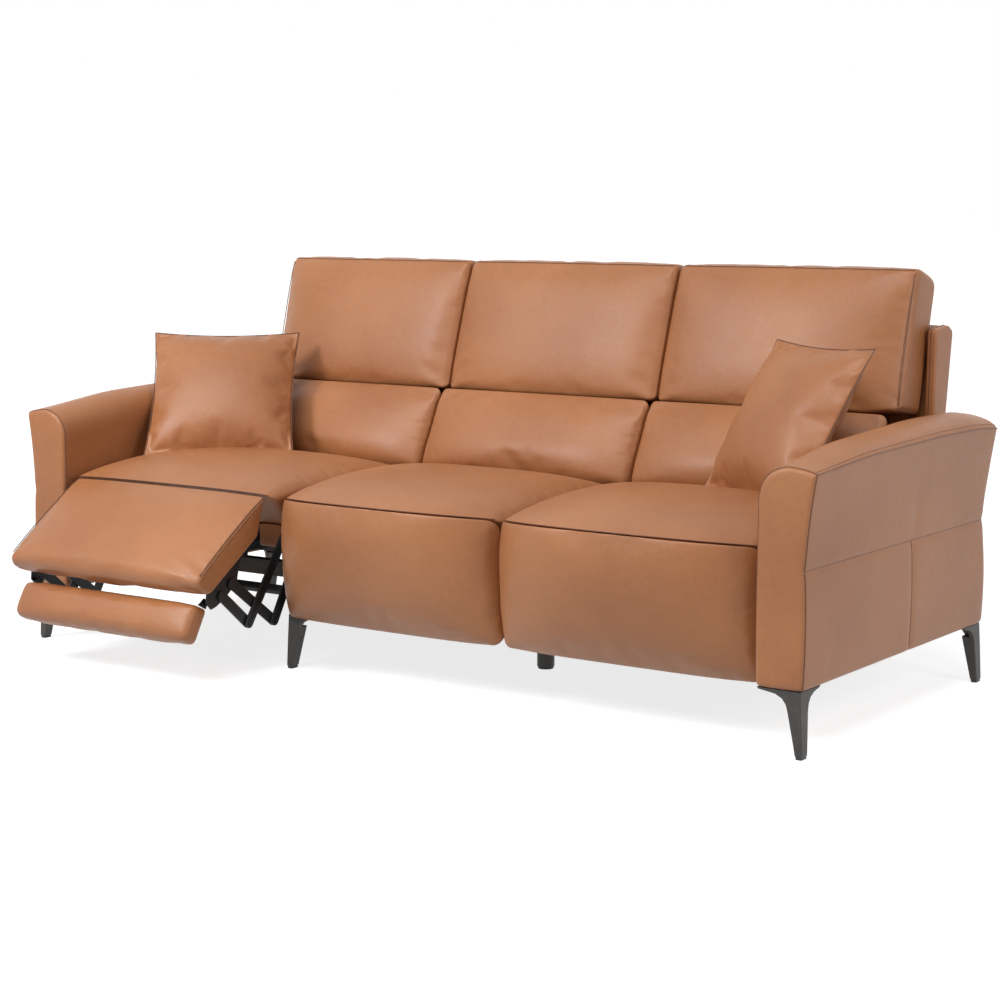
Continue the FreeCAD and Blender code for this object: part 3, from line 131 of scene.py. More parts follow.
# Five legs are cast with two wings that screw up under the body, and taper to a small foot.
# They are powder coated in gunmetal, as is the round leg under the centre rail. They are
# slimmer than the solids, whose legs they stand for.
gunmetal, tree, surface, place = shader("gunmetal")
specks = noise(tree, place, 900, 2, 0.6)
clouds = noise(tree, place, 18, 3, 0.5)
tree.links.new(ramp(tree, clouds, [(0.3, (0.040, 0.038, 0.036)), (0.7, (0.062, 0.058, 0.054))]),
               surface.inputs["Base Color"])
tree.links.new(rescaled(tree, specks, 0.36, 0.52), surface.inputs["Roughness"])
surface.inputs["Metallic"].default_value = 0.35
bumped(tree, surface, specks, 0.00025)


def eased(name, body, material, width, segments=2):
    """A copy of a node's solid with its triangles joined and its sharp edges rounded."""
    source = nodes[name]
    mesh = source.data.copy()
    piece = bpy.data.objects.new(f"{name}_finished", mesh)
    bpy.context.scene.collection.objects.link(piece)
    mesh.materials.clear()
    mesh.materials.append(material)
    weld = piece.modifiers.new("joined", "WELD")
    weld.merge_threshold = 0.00001
    bevel = piece.modifiers.new("edges", "BEVEL")
    bevel.width = width
    bevel.segments = segments
    bevel.limit_method = "ANGLE"
    bevel.angle_limit = math.radians(34)
    bevel.harden_normals = True
    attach(piece, body)
    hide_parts(name)
    return piece


eased("centre_leg", "base", gunmetal, 0.0014, 3)


def millimetres(points):
    """Points in millimetres, with y from the arms' front faces, as metres in the frame."""
    moved = np.array(points, float) / 1000
    arm_front = 0.36
    moved[..., -2] -= arm_front
    return moved


def prism(outline, low, high, axis):
    """A closed bar: an outline in two ways, drawn out between low and high along an axis."""
    outline = np.asarray(outline, float)
    count = len(outline)
    both = np.concatenate([np.insert(outline, axis, low, 1), np.insert(outline, axis, high, 1)])
    ring = np.arange(count)
    sides = np.stack([ring, np.roll(ring, -1), np.roll(ring, -1) + count, ring + count], 1).tolist()
    return both, sides + [ring[::-1].tolist(), (ring + count).tolist()]


def bars(name, parts, material, body, bevel):
    """Several closed bars as one piece, their edges rounded by the bevel's width."""
    spots, faces, total = [], [], 0
    for points, polygons in parts:
        spots.append(points)
        faces += [[v + total for v in face] for face in polygons]
        total += len(points)
    mesh = bpy.data.meshes.new(name)
    mesh.from_pydata(np.concatenate(spots).tolist(), [], faces)
    mesh.materials.append(material)
    work = bmesh.new()
    work.from_mesh(mesh)
    bmesh.ops.recalc_face_normals(work, faces=work.faces)
    work.to_mesh(mesh)
    work.free()
    piece = bpy.data.objects.new(name, mesh)
    bpy.context.scene.collection.objects.link(piece)
    edges = piece.modifiers.new("edges", "BEVEL")
    edges.width = bevel
    edges.segments = 3
    edges.limit_method = "ANGLE"
    edges.angle_limit = math.radians(24)
    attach(piece, body)
    return piece


def wing_outline(top, neck, foot, reach, splay):
    """A leg's side from its glide to its top: the wing tapers to its tip, at reach, and curves
    down into the neck, and the foot stands out by the splay."""
    return [(-splay, 6), (foot - splay, 6), (neck - 1, top - 44), (neck + 3, top - 30), (neck + 12, top - 18),
            (neck + 28, top - 10), (reach - 4, top - 4.5), (reach, top), (0, top), (-1, top - 60)]


splay_x, splay_y = 7, 1
foot_x, foot_y = 17, 25
neck_x, neck_y = 30, 34
body_bottom, glide_top = 140, 6
feet = []
for name, x, y, way_x, way_y, top in (
        ("front_left_leg", -1088, 5, 1, 1, body_bottom),
        ("front_right_leg", 1088, 5, -1, 1, body_bottom),
        ("rear_right_leg", 1088, 909, -1, -1, body_bottom),
        ("rear_left_leg", -1088, 909, 1, -1, body_bottom),
        ("front_middle_leg", -324, 86, 1, 1, body_bottom - 6)):
    front = prism(wing_outline(top, neck_x, foot_x, 100, splay_x), 0, 11, 1)
    side = prism(wing_outline(top, neck_y, foot_y, 92, splay_y), 0, 11, 0)
    core = [(0, 0), (neck_x, 0), (neck_x, neck_y), (0, neck_y)]
    near, far = (-splay_x, -splay_y), (foot_x - splay_x, foot_y - splay_y)
    low = [near, (far[0], near[1]), far, (near[0], far[1])]
    block = np.array([(*p, glide_top) for p in low] + [(*p, top - 30) for p in core], float)
    around = [[0, 1, 5, 4], [1, 2, 6, 5], [2, 3, 7, 6], [3, 0, 4, 7], [3, 2, 1, 0], [4, 5, 6, 7]]
    parts = []
    for points, faces in (front, side, (block, around)):
        spots = points.copy()
        if faces is side[1]:
            spots[:, 0] -= np.interp(points[:, 2], (glide_top, top), (splay_x, 0))
        spots = spots * (way_x, way_y, 1) + (x, y, 0)
        parts.append((millimetres(spots), faces))
    leg = bars(f"{name}_casting", parts, gunmetal, "base", 0.0022)
    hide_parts(name)
    feet.append(np.array([near, far]) * (way_x, way_y) + (x, y))


# Nylon glides are pressed into the legs' feet and carry the whole sofa. They are moulded in
# black, slightly rounded where they meet the floor, as is the housing of the drive motor.
nylon, tree, surface, place = shader("nylon")
surface.inputs["Base Color"].default_value = (0.02, 0.02, 0.021, 1)
tree.links.new(rescaled(tree, noise(tree, place, 300, 2), 0.42, 0.56), surface.inputs["Roughness"])
bumped(tree, surface, noise(tree, place, 1400, 2), 0.0001)
glide_in, glide_height = 1.5, 7
pads = []
for low, high in feet:
    (x0, y0), (x1, y1) = np.minimum(low, high) + glide_in, np.maximum(low, high) - glide_in
    pads.append(prism([(x0, y0), (x1, y0), (x1, y1), (x0, y1)], 0, glide_height, 2))
angle = np.linspace(0, 2 * np.pi, 32, endpoint=False)
centre_leg_x, centre_leg_y, round_radius = 179, 445, 19
rim = np.stack([centre_leg_x + round_radius * np.cos(angle), centre_leg_y + round_radius * np.sin(angle)], 1)
pads.append(prism(rim, 0, glide_height, 2))
glides = bars("glides", [(millimetres(points), faces) for points, faces in pads], nylon, "base",
              0.0012)
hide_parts("foot_glides")
eased("drive_motor", "reclining seat", nylon, 0.002, 3)


# The recliner's rails, side plates, links and brackets are punched from strip steel,
# riveted together with washers and painted satin black. Springs are bare oiled wire.
def black_steel(name, colour, metallic, low, high):
    """Painted or oiled steel: its paint varies a little in depth and in gloss."""
    steel, tree, surface, place = shader(name)
    stain = noise(tree, place, 40, 5, 0.6)
    grain = noise(tree, place, 1100, 2, 0.5)
    dark = tuple(0.7 * c for c in colour)
    tree.links.new(ramp(tree, stain, [(0.3, dark), (0.72, colour)]), surface.inputs["Base Color"])
    tree.links.new(rescaled(tree, grain, low, high), surface.inputs["Roughness"])
    surface.inputs["Metallic"].default_value = metallic
    bumped(tree, surface, grain, 0.0002)
    return steel


painted_steel = black_steel("painted_steel", (0.018, 0.018, 0.019), 0.3, 0.34, 0.5)
spring_wire = black_steel("spring_wire", (0.22, 0.21, 0.2), 0.9, 0.28, 0.42)
for name, body in (("glide_rails", "base"), ("left_side_plate", "reclining seat"),
                   ("right_side_plate", "reclining seat"), ("drive_track", "reclining seat"),
                   ("lift_links", "lift link pair"), ("front_links", "front link pair"),
                   ("rear_links", "rear link pair"), ("cross_links", "cross link pair"),
                   ("legrest_brackets", "legrest"), ("flap_lugs", "flap"), ("drive_nut", "drive nut"),
                   ("recline_brackets", "reclining back"), ("left_headrest_arms", "left headrest unit"),
                   ("middle_headrest_arms", "middle headrest unit"),
                   ("right_headrest_arms", "right headrest unit")):
    eased(name, body, painted_steel, 0.0006)
for name in ("left_seat_springs", "fixed_seat_springs"):
    finish_node(name, spring_wire)


# Both arms are a board wrapped in foam and leather. The leather is a protected, semi-gloss
# cowhide with a fine pebble grain; its panels meet at turned seams and dark brown welts.
def leather(name, light, dark):
    """Coated cowhide: slow colour clouds, fine creases and a pebble of about 1 mm."""
    hide, tree, surface, place = shader(name)
    clouds = noise(tree, place, 3.2, 3, 0.5)
    flecks = noise(tree, place, 70, 4, 0.6)
    blend = tree.nodes.new("ShaderNodeMix")
    blend.inputs["Factor"].default_value = 0.25
    tree.links.new(clouds, blend.inputs["A"])
    tree.links.new(flecks, blend.inputs["B"])
    tree.links.new(ramp(tree, blend.outputs["Result"], [(0.32, dark), (0.66, light)]),
                   surface.inputs["Base Color"])
    tree.links.new(rescaled(tree, flecks, 0.36, 0.5), surface.inputs["Roughness"])
    surface.inputs["Specular IOR Level"].default_value = 0.4
    surface.inputs["Coat Weight"].default_value = 0.1
    surface.inputs["Coat Roughness"].default_value = 0.28
    pebble = tree.nodes.new("ShaderNodeTexVoronoi")
    pebble.feature = "SMOOTH_F1"
    pebble.inputs["Scale"].default_value = 760
    pebble.inputs["Smoothness"].default_value = 0.6
    tree.links.new(place, pebble.inputs["Vector"])
    soft = bumped(tree, surface, noise(tree, place, 26, 5, 0.62), 0.0011)
    fine = bumped(tree, surface, noise(tree, place, 190, 3, 0.6), 0.0003, under=soft)
    bumped(tree, surface, pebble.outputs["Distance"], 0.0003, under=fine)
    return hide


hide = leather("tan_leather", (0.41, 0.166, 0.064), (0.315, 0.116, 0.042))
welt_hide = leather("welt_leather", (0.17, 0.066, 0.028), (0.11, 0.042, 0.018))


def skin(name, points, ends):
    """A closed skin over rings of points, stations by ring by 3. Each end is closed by
    rings drawn in towards its centre, and pushed out by ends metres at that centre."""
    stations_count, around = points.shape[:2]
    layers, order = [points.reshape(-1, 3)], []
    base = np.arange(stations_count * around).reshape(stations_count, around)
    total = base.size
    caps = []
    for row, push in ((0, ends), (-1, ends)):
        centre = points[row].mean(0)
        way = centre - points[1 if row == 0 else -2].mean(0)
        way = way / np.linalg.norm(way)
        rows = [base[row]]
        for share in (0.86, 0.66, 0.42, 0.18):
            layers.append(centre + (points[row] - centre) * share + way * push * (1 - share ** 2))
            rows.append(np.arange(total, total + around))
            total += around
        layers.append((centre + way * push)[None])
        caps.append((rows, total, row))
        total += 1
    quads = [np.stack([base[:-1], np.roll(base[:-1], -1, 1), np.roll(base[1:], -1, 1), base[1:]], -1)
             .reshape(-1, 4)]
    triangles = []
    for rows, hub, row in caps:
        stack = np.array(rows)
        if row == 0:
            stack = stack[:, ::-1]
        quads.append(np.stack([stack[:-1], np.roll(stack[:-1], -1, 1), np.roll(stack[1:], -1, 1),
                               stack[1:]], -1).reshape(-1, 4))
        last = stack[-1]
        triangles.append(np.stack([last, np.roll(last, -1), np.full(around, hub)], -1))
    spots = np.concatenate(layers)
    faces = np.concatenate(quads).tolist() + np.concatenate(triangles).tolist()
    tris = np.concatenate([quads[0][:, :3], quads[0][:, [0, 2, 3]]])
    a, b, c = spots[tris[:, 0]], spots[tris[:, 1]], spots[tris[:, 2]]
    middle = spots.mean(0)
    if (np.cross(b - a, c - a) * (a - middle)).sum() < 0:
        faces = [face[::-1] for face in faces]
    mesh = bpy.data.meshes.new(name)
    mesh.from_pydata(spots.tolist(), [], faces)
    mesh.polygons.foreach_set("use_smooth", np.ones(len(mesh.polygons), bool))
    mesh.update()
    piece = bpy.data.objects.new(name, mesh)
    bpy.context.scene.collection.objects.link(piece)
    return piece


def smoothed(piece):
    """One subdivision, the same in the view and in the render."""
    soft = piece.modifiers.new("smooth", "SUBSURF")
    soft.levels = soft.render_levels = 1
    return piece


def piping(name, points, radius, body, material=None, closed=False, around=8):
    """A round cord laid along points: circles of this radius carried along them, square to the line, with
    their turn set at each point by one fixed direction."""
    points = np.asarray(points, float)
    if closed:
        ahead = np.roll(points, -1, 0) - np.roll(points, 1, 0)
    else:
        ahead = np.gradient(points, axis=0)
    ahead /= np.linalg.norm(ahead, axis=1, keepdims=True)
    side = np.cross(ahead, (0.31, 0.22, 0.93))
    side /= np.linalg.norm(side, axis=1, keepdims=True)
    third = np.cross(ahead, side)
    angle = np.linspace(0, 2 * np.pi, around, endpoint=False)
    circle = (side[:, None] * np.cos(angle)[None, :, None]
              + third[:, None] * np.sin(angle)[None, :, None]) * radius
    rows = points[:, None] + circle
    count = len(points)
    index = np.arange(count * around).reshape(count, around)
    following = np.roll(index, -1, 0) if closed else index[1:]
    here = index if closed else index[:-1]
    faces = np.stack([here, np.roll(here, -1, 1), np.roll(following, -1, 1), following], -1).reshape(-1, 4)
    faces = faces.tolist()
    if not closed:
        faces += [index[0][::-1].tolist(), index[-1].tolist()]
    mesh = bpy.data.meshes.new(name)
    mesh.from_pydata(rows.reshape(-1, 3).tolist(), [], faces)
    mesh.polygons.foreach_set("use_smooth", np.ones(len(mesh.polygons), bool))
    mesh.materials.append(material or welt_hide)
    mesh.update()
    piece = bpy.data.objects.new(name, mesh)
    bpy.context.scene.collection.objects.link(piece)
    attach(piece, body)
    return piece


def through(a, b, c, count):
    """Points on the parabola from a through b, at half way, to c; the last is left out."""
    t = np.linspace(0, 1, count, endpoint=False)[:, None]
    pull = 2 * np.asarray(b, float) - 0.5 * (np.asarray(a, float) + np.asarray(c, float))
    return np.asarray(a) * (1 - t) ** 2 + pull * 2 * t * (1 - t) + np.asarray(c) * t ** 2


def groove(distance, width, depth):
    """How far leather sinks at this distance from a seam."""
    return depth * np.exp(-(distance / width) ** 2)


arm_runs = (22, 14, 16, 22, 22, 8)
arm_top_row = sum(arm_runs[:3])
arm_seam_row = sum(arm_runs[:4])
arm_bottom_row = sum(arm_runs[:5])
arm_depth, seam_height, panel_seam_y, corner_seam_y = 914, 385, 509, 524
arm_rows = np.concatenate([[0, 3, 8, 16], np.linspace(30, 480, 26), [494, 503, 509, 515, 524],
                           np.linspace(540, 884, 20), [898, 906, 911, 914]])
arm_lift = np.interp(arm_rows / arm_depth, (0, 0.25, 0.65, 0.88, 1), (0, 0.66, 1, 0.98, 0.66))
arm_lift = np.convolve(np.pad(arm_lift, 4, "edge"), np.hanning(9) / np.hanning(9).sum(), "valid")
arm_grid = []
for y, lift in zip(arm_rows, arm_lift):
    ridge, edge, flare = 592 + 50 * lift, 580 + 26 * min(lift, 1), 3.2 * min(lift / 0.6, 1)
    outer = 1116 + flare
    inner_top, crest, corner = (986, ridge - 85), (1051, ridge), (outer, edge)
    seam, low_out, low_in = (1094, seam_height), (1093, body_bottom), (986, body_bottom)
    arm_grid.append(np.concatenate([
        through(low_in, (985, 0.5 * (body_bottom + ridge - 85)), inner_top, arm_runs[0]),
        through(inner_top, (1000, ridge - 26), crest, arm_runs[1]),
        through(crest, (outer - 22, edge + 0.62 * (ridge - edge)), corner, arm_runs[2]),
        through(corner, (1101.5, 482), seam, arm_runs[3]),
        through(seam, (1097.5, 262), low_out, arm_runs[4]),
        through(low_out, (1040, body_bottom - 1), low_in, arm_runs[5])]))
arm_grid = np.array(arm_grid)
up = arm_grid[..., 1]
around_arm = np.arange(arm_grid.shape[1])
outside = (around_arm > arm_top_row) & (around_arm <= arm_bottom_row)
dip = groove(up - seam_height, 7, 3.2) * outside
dip += groove((arm_rows - panel_seam_y)[:, None], 8, 2.2) * outside * (up < seam_height)
dip += groove((arm_rows - corner_seam_y)[:, None], 30, 2.0) * outside * groove(up - 440, 60, 1)
arm_grid[..., 0] -= dip
depth = arm_rows[:, None] + np.zeros_like(up)
depth -= 13 * groove(up - seam_height, 95, 1) * np.clip((arm_rows - 700) / 214, 0, 1)[:, None] ** 2
depth += 3 * groove(up - 300, 180, 1) * np.clip(1 - arm_rows / 60, 0, 1)[:, None] * -1
ring_in = np.array([7, 3.4, 1.2, 0.2] + [0] * (len(arm_rows) - 8) + [0.4, 2, 5, 11])[:, None]
heart = arm_grid.mean(1, keepdims=True)
reach = np.abs(arm_grid - heart).max(1, keepdims=True)
arm_grid = heart + (arm_grid - heart) * (1 - ring_in[:, :, None] / reach)
for side, label in ((1, "right_arm"), (-1, "left_arm")):
    shape = millimetres(np.stack([side * arm_grid[..., 0], depth, arm_grid[..., 1]], -1))
    cover = smoothed(skin(f"{label}_cover", shape, 0.003))
    cover.data.materials.append(hide)
    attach(cover, "base")
    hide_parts(label)
    welt = shape[2, 2:arm_bottom_row + 1]
    piping(f"{label}_front_welt", welt + (0, -0.0002, 0), 0.0014, "base")
    piping(f"{label}_top_seam", shape[2:-2, arm_top_row] + (side * 0.0004, 0, 0), 0.0012, "base")
    piping(f"{label}_top_stitch", shape[2:-2, arm_top_row - 3] + (0, 0, 0.0002), 0.0005, "base")
    piping(f"{label}_side_seam", shape[2:-2, arm_seam_row] + (side * 0.0003, 0, 0), 0.0013, "base")
    column = int(np.argmin(np.abs(arm_rows - panel_seam_y)))
    lower = shape[column, arm_seam_row:arm_bottom_row]
    piping(f"{label}_panel_seam", lower + (side * 0.0003, 0, 0), 0.0009, "base")


# Seats: each is a crowned foam cushion under leather, sewn to its front along one dark
# seam that bows forward. The fixed seats have a swollen front panel down to the frame.
def bowed_rings(corners, bulges, radii, runs, bend=5, full=2.5):
    """Closed rings, one to a station: runs between (y, z) corners, bowed outward by
    bulge * (1 - |2t - 1| ** full), each corner a quadratic bend that begins its radius away."""
    corners, bulges = np.asarray(corners, float), np.asarray(bulges, float)
    run = np.roll(corners, -1, 1) - corners
    length = np.linalg.norm(run, axis=2)
    turn = np.sign((corners[0, :, 0] * np.roll(corners[0, :, 1], -1)
                    - corners[0, :, 1] * np.roll(corners[0, :, 0], -1)).sum())
    out = np.stack([run[..., 1], -run[..., 0]], 2) / length[..., None] * turn

    def along(side, t):
        t = t[..., None]
        bow = bulges[:, side, None, None] * (1 - np.abs(2 * t - 1) ** full)
        return corners[:, side, None] + run[:, side, None] * t + out[:, side, None] * bow

    count = corners.shape[1]
    u = np.linspace(0, 1, bend)[None, :, None]
    parts = []
    for i in range(count):
        before = (i - 1) % count
        start = along(before, 1 - radii[i] / length[:, before, None])
        end = along(i, radii[i] / length[:, i, None])
        parts.append(start * (1 - u) ** 2 + corners[:, i, None] * 2 * u * (1 - u) + end * u ** 2)
        first = radii[i] / length[:, i, None]
        last = 1 - radii[(i + 1) % count] / length[:, i, None]
        parts.append(along(i, first + (last - first) * np.linspace(0, 1, runs[i] + 2)[None, 1:-1]))
    return np.concatenate(parts, 1)


def stations(half, radius, count=30, turn=5):
    """Places across a cushion, closer together where its ends round over, and how far the
    rings draw in at each, on a quarter circle."""
    angle = np.linspace(np.pi / 2, 0, turn + 1)[:-1]
    tips = half - radius * (1 - np.sin(angle))
    drawn = radius * (1 - np.cos(angle))
    middle = np.linspace(-(half - radius), half - radius, count)
    return np.concatenate([-tips, middle, tips[::-1]]), np.concatenate([drawn, np.zeros(count), drawn[::-1]])


def drawn_in(rings, inset):
    """Rings narrowed about their centres by the inset on every side, along their own long
    and short ways, so that corners never cross."""
    centre = rings.mean(1, keepdims=True)
    local = rings - centre
    spread = np.einsum("ski,skj->sij", local, local)
    ways = np.linalg.eigh(spread)[1]
    own = np.einsum("ski,sij->skj", local, ways)
    half = np.abs(own).max(1, keepdims=True)
    own = own * (1 - inset[:, None, None] / half)
    return centre + np.einsum("skj,sij->ski", own, ways)


def stuffed(name, centre, half, edge, middle, edge_bulge, middle_bulge, radii, runs, end_radius,
            power=3, right_edge=None, count=30, push=1.5, place=None, full=2.5):
    """A cushion across the sofa: rings blended from its side shape to its middle shape by
    1 - |s| ** power. Returns the piece and its points, stations by ring, in metres."""
    across, inset = stations(half, end_radius, count)
    share = (1 - np.abs(across / half) ** power)[:, None, None]
    edge, middle = np.array(edge, float), np.array(middle, float)
    sides = np.where((across > 0)[:, None, None], np.array(right_edge or edge, float), edge)
    corners = sides + (middle - sides) * share
    bulges = np.array(edge_bulge) + (np.array(middle_bulge) - np.array(edge_bulge)) * share[:, :, 0]
    rings = drawn_in(bowed_rings(corners, bulges, radii, runs, full=full), inset)
    if place is not None:
        rings = place(rings)
    x = np.broadcast_to((centre + across)[:, None], rings.shape[:2])
    points = millimetres(np.concatenate([x[..., None], rings], 2))
    piece = skin(name, points, push / 1000)
    return piece, points


def corner_row(runs, corner, bend=5):
    """Index, round a ring, of the middle of a corner's bend."""
    return sum(bend + runs[j] for j in range(corner)) + bend // 2


waiting = []


def cushion(piece, points, body, node, held, pressure=4.0, growth=0.006, cap=0.010):
    """Give a padded piece its leather, hang it on its body, hide the node it stands for, and note which of
    its points the seams hold while it is stuffed: held is true, stations by ring, where the leather can't
    move."""
    piece.data.materials.append(hide)
    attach(piece, body)
    if node:
        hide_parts(node)
    waiting.append((piece, held, pressure, growth, cap))
    return piece


def seam_mask(points, rows, ends=True):
    """True at the given rows round the ring and, with ends, at the first stations."""
    held = np.zeros(points.shape[:2], bool)
    held[:, rows] = True
    if ends:
        held[:2] = True
        held[-2:] = True
    return held


seat_runs = (46, 8, 40, 24)
for label, left, right in (("middle", -312, 312), ("right", 317, 970)):
    centre, half = (left + right) / 2, (right - left) / 2
    piece, points = stuffed(
        f"{label}_seat_top", centre, half, [(62, 419), (560, 435), (560, 345), (104, 345)],
        [(-32, 431), (560, 447), (560, 345), (104, 345)], (21, 1, 0, 0), (36, 4, 0, 0),
        (5, 14, 8, 8), seat_runs, 26)
    seam = corner_row(seat_runs, 0)
    under = list(range(corner_row(seat_runs, 1), points.shape[1]))
    cushion(piece, points, "base", f"{label}_seat_cushion", seam_mask(points, [seam] + under))
    piping(f"{label}_seat_seam", points[3:-3, seam] + (0, 0.0002, 0), 0.0011, "base")
    panel_runs = (8, 20, 6, 34)
    piece, panel = stuffed(
        f"{label}_front_cover", centre, half, [(62, 417.4), (98, 337), (98, 142), (68, 129)],
        [(-32, 429.4), (98, 337), (98, 142), (56, 127)], (0, 0, 0, 22), (0, 0, 0, 32),
        (5, 10, 8, 9), panel_runs, 24, power=4)
    rows = [corner_row(panel_runs, 0)] + list(range(corner_row(panel_runs, 1), corner_row(panel_runs, 3)))
    cushion(piece, panel, "base", f"{label}_front_panel", seam_mask(panel, rows), cap=0.006)

piece, points = stuffed(
    "left_seat_top", -643.5, 326.5, [(17, 428), (560, 435), (560, 345), (103, 345)],
    [(14, 433), (560, 447), (560, 345), (103, 345)], (21, 1, 0, 0), (35, 4, 0, 0),
    (5, 14, 8, 8), seat_runs, 26)
seam = corner_row(seat_runs, 0)
under = list(range(corner_row(seat_runs, 1), points.shape[1]))
cushion(piece, points, "reclining seat", "left_seat_cushion", seam_mask(points, [seam] + under))
piping("left_seat_seam", points[3:-3, seam] + (0, -0.0002, 0.0002), 0.0011, "reclining seat")


# The seat's front corners are closed by two leather wrapped blocks under its side edges,
# stapled to the deck.
for side, label in ((1, "right"), (-1, "left")):
    x = -640 + side * (310 - 4 - 16.5 - 41)
    low, high = 289, 343.5
    across, inset = stations(35, 7, 6)
    corners = np.broadcast_to(np.array([(99, low), (128, low), (128, high), (99, high)], float),
                              (len(across), 4, 2))
    rings = drawn_in(bowed_rings(corners, np.zeros((len(across), 4)), (5, 5, 5, 5), (3, 3, 3, 3)), inset)
    spots = np.concatenate([np.broadcast_to((x + across)[:, None, None], rings.shape[:2] + (1,)), rings], 2)
    block = skin(f"{label}_corner_block", millimetres(spots), 0.0005)
    block.data.materials.append(hide)
    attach(block, "reclining seat")
    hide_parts("seat_corner_panels")


# The legrest is a boxed foam pad on its steel brackets, hinged at the seat's front seam.
# Its border is sewn with a double seam, and a lower strip covers the board's edge.
drop = math.radians(34.4)
legrest_hinge = (12, 430)


def on_legrest(rings):
    """Rings given along the pad from its hinge and under its top, turned into y and z."""
    along, under = rings[..., 0], rings[..., 1]
    y = legrest_hinge[0] - along * math.cos(drop) + under * math.sin(drop)
    z = legrest_hinge[1] - along * math.sin(drop) - under * math.cos(drop)
    return np.stack([y, z], -1)


rest_runs = (30, 12, 14, 12)
piece, points = stuffed(
    "legrest_cover", -640, 310, [(3, 5), (300, 10), (274, 68), (72, 68)],
    [(2, 0), (310, 4), (276, 68), (72, 68)], (6, 8, 0, 0), (15, 13, 0, 0), (4, 22, 8, 6), rest_runs, 9,
    power=4, place=on_legrest)
held = seam_mask(points, [corner_row(rest_runs, 0)] + list(range(corner_row(rest_runs, 2), points.shape[1])))
cushion(piece, points, "legrest", "legrest_pad", held, cap=0.007)
for station, side in ((3, -1), (-4, 1)):
    border = points[station, 3:corner_row(rest_runs, 1) - 1]
    piping(f"legrest_border_seam_{station % 7}", border + (side * 0.0012, 0, 0), 0.0013, "legrest")
    shift = np.array([side * 0.0042, 0.0045 * math.sin(drop), -0.0075 * math.cos(drop)])
    piping(f"legrest_border_stitch_{station % 7}", border[:-1] + shift, 0.0008, "legrest")


# The flap is a small boxed pad that flips out from under the legrest on two lugs.
tilt = math.radians(60.6)
flap_hinge = (-159, 192)


def on_flap(rings):
    """Rings given down the flap's face from its hinge and out from it, turned into y and z."""
    down, out = rings[..., 0], rings[..., 1]
    y = flap_hinge[0] - down * math.cos(tilt) - out * math.sin(tilt)
    z = flap_hinge[1] - down * math.sin(tilt) + out * math.cos(tilt)
    return np.stack([y, z], -1)


flap_runs = (14, 8, 12, 8)
piece, points = stuffed(
    "flap_cover", -640, 284, [(17, 38), (99, 38), (100, -10), (12, -10)],
    [(12, 43), (104, 43), (104, -13), (12, -13)], (2, 3, 0, 0), (6, 5, 0, 0), (14, 14, 9, 9), flap_runs,
    18, power=6, place=on_flap)
held = seam_mask(points, list(range(corner_row(flap_runs, 2), points.shape[1])))
cushion(piece, points, "flap", "flap_pad", held, cap=0.004)


# Backs: a lumbar cushion below and a hinged headrest above, both foam over a board. The
# headrests are boxed, with a dark welt at their front edges; the end ones curve back.
headrest_hinge, crease = (860, 645), (704, 640)
clear = math.dist(headrest_hinge, crease) + 9
pitch, back_half = 629, 312
board_y, board_z, board_slope = 743, 364, 0.113


def under_headrest(degrees):
    """A place on a circle about the headrest's hinge, through the crease and 9 mm outside it,
    which leaves room for the headrest's lower front edge to sweep."""
    angle = math.radians(degrees)
    return (headrest_hinge[0] - clear * math.cos(angle), headrest_hinge[1] - clear * math.sin(angle))


tip, turned = under_headrest(2.2), under_headrest(25)
lumbar_runs = (5, 3, 20, 12, 5, 34)
lumbar_foot = 404
lumbar_edge = [tip, turned, (board_y + board_slope * (turned[1] - board_z), turned[1] - 4),
               (board_y + board_slope * (lumbar_foot - 360), lumbar_foot), (608, 406), (594, 438)]
lumbar_mid = lumbar_edge[:5] + [(568, 438)]
head_runs = (34, 14, 26, 14)


def headrest_corners(seam):
    """Corners of a headrest's section where its front seam lies this far behind."""
    return [(703 + seam, 629 + 0.15 * seam), (820 + 0.4 * seam, 962), (953, 927), (874, 620)]


for index, label in ((-1, "left"), (0, "middle"), (1, "right")):
    back_body = "reclining back" if index < 0 else "base"
    centre, half = pitch * index, back_half
    piece, points = stuffed(
        f"{label}_lumbar_cover", centre, half, lumbar_edge, lumbar_mid, (-3, 0, 0, 0, 0, 8),
        (-3, 0, 0, 0, 0, 30), (8, 5, 4, 8, 10, 20), lumbar_runs, 17, power=4, full=3.6)
    rear = list(range(corner_row(lumbar_runs, 4)))
    cushion(piece, points, back_body, f"{label}_lumbar_cushion", seam_mask(points, rear), cap=0.009,
            growth=0.010)
    piece, points = stuffed(
        f"{label}_headrest_cover", centre, half, headrest_corners(66 if index < 0 else 12),
        headrest_corners(0), (6, 6, 0, 0), (21, 10, 0, 0), (9, 18, 14, 8), head_runs, 17, power=4, full=3.2,
        right_edge=headrest_corners(66 if index > 0 else 12))
    rear = list(range(corner_row(head_runs, 2), points.shape[1]))
    top = corner_row(head_runs, 1)
    cushion(piece, points, f"{label} headrest unit", f"{label}_headrest", seam_mask(points, [top] + rear),
            cap=0.004, growth=0.008)
    piping(f"{label}_headrest_top_welt", points[4:-4, top] + (0, -0.0002, 0.0002), 0.0009,
           f"{label} headrest unit")
    if index:
        station = 3 if index < 0 else -4
        piping(f"{label}_headrest_side_welt", points[station, 4:top] + (index * 0.0004, -0.0003, 0), 0.0011,
               f"{label} headrest unit")


# Rear shells: padded panels behind the backs, wrapped in the same leather. The end ones
# have a wing that turns forward beside the headrest.
shell_bottom, shell_top = 270, 828


def shell_rear(z):
    """Rear face of a shell at this height."""
    foot_y, top_y = 890, 975
    return foot_y + (top_y - foot_y) / (shell_top - shell_bottom) * (z - shell_bottom)


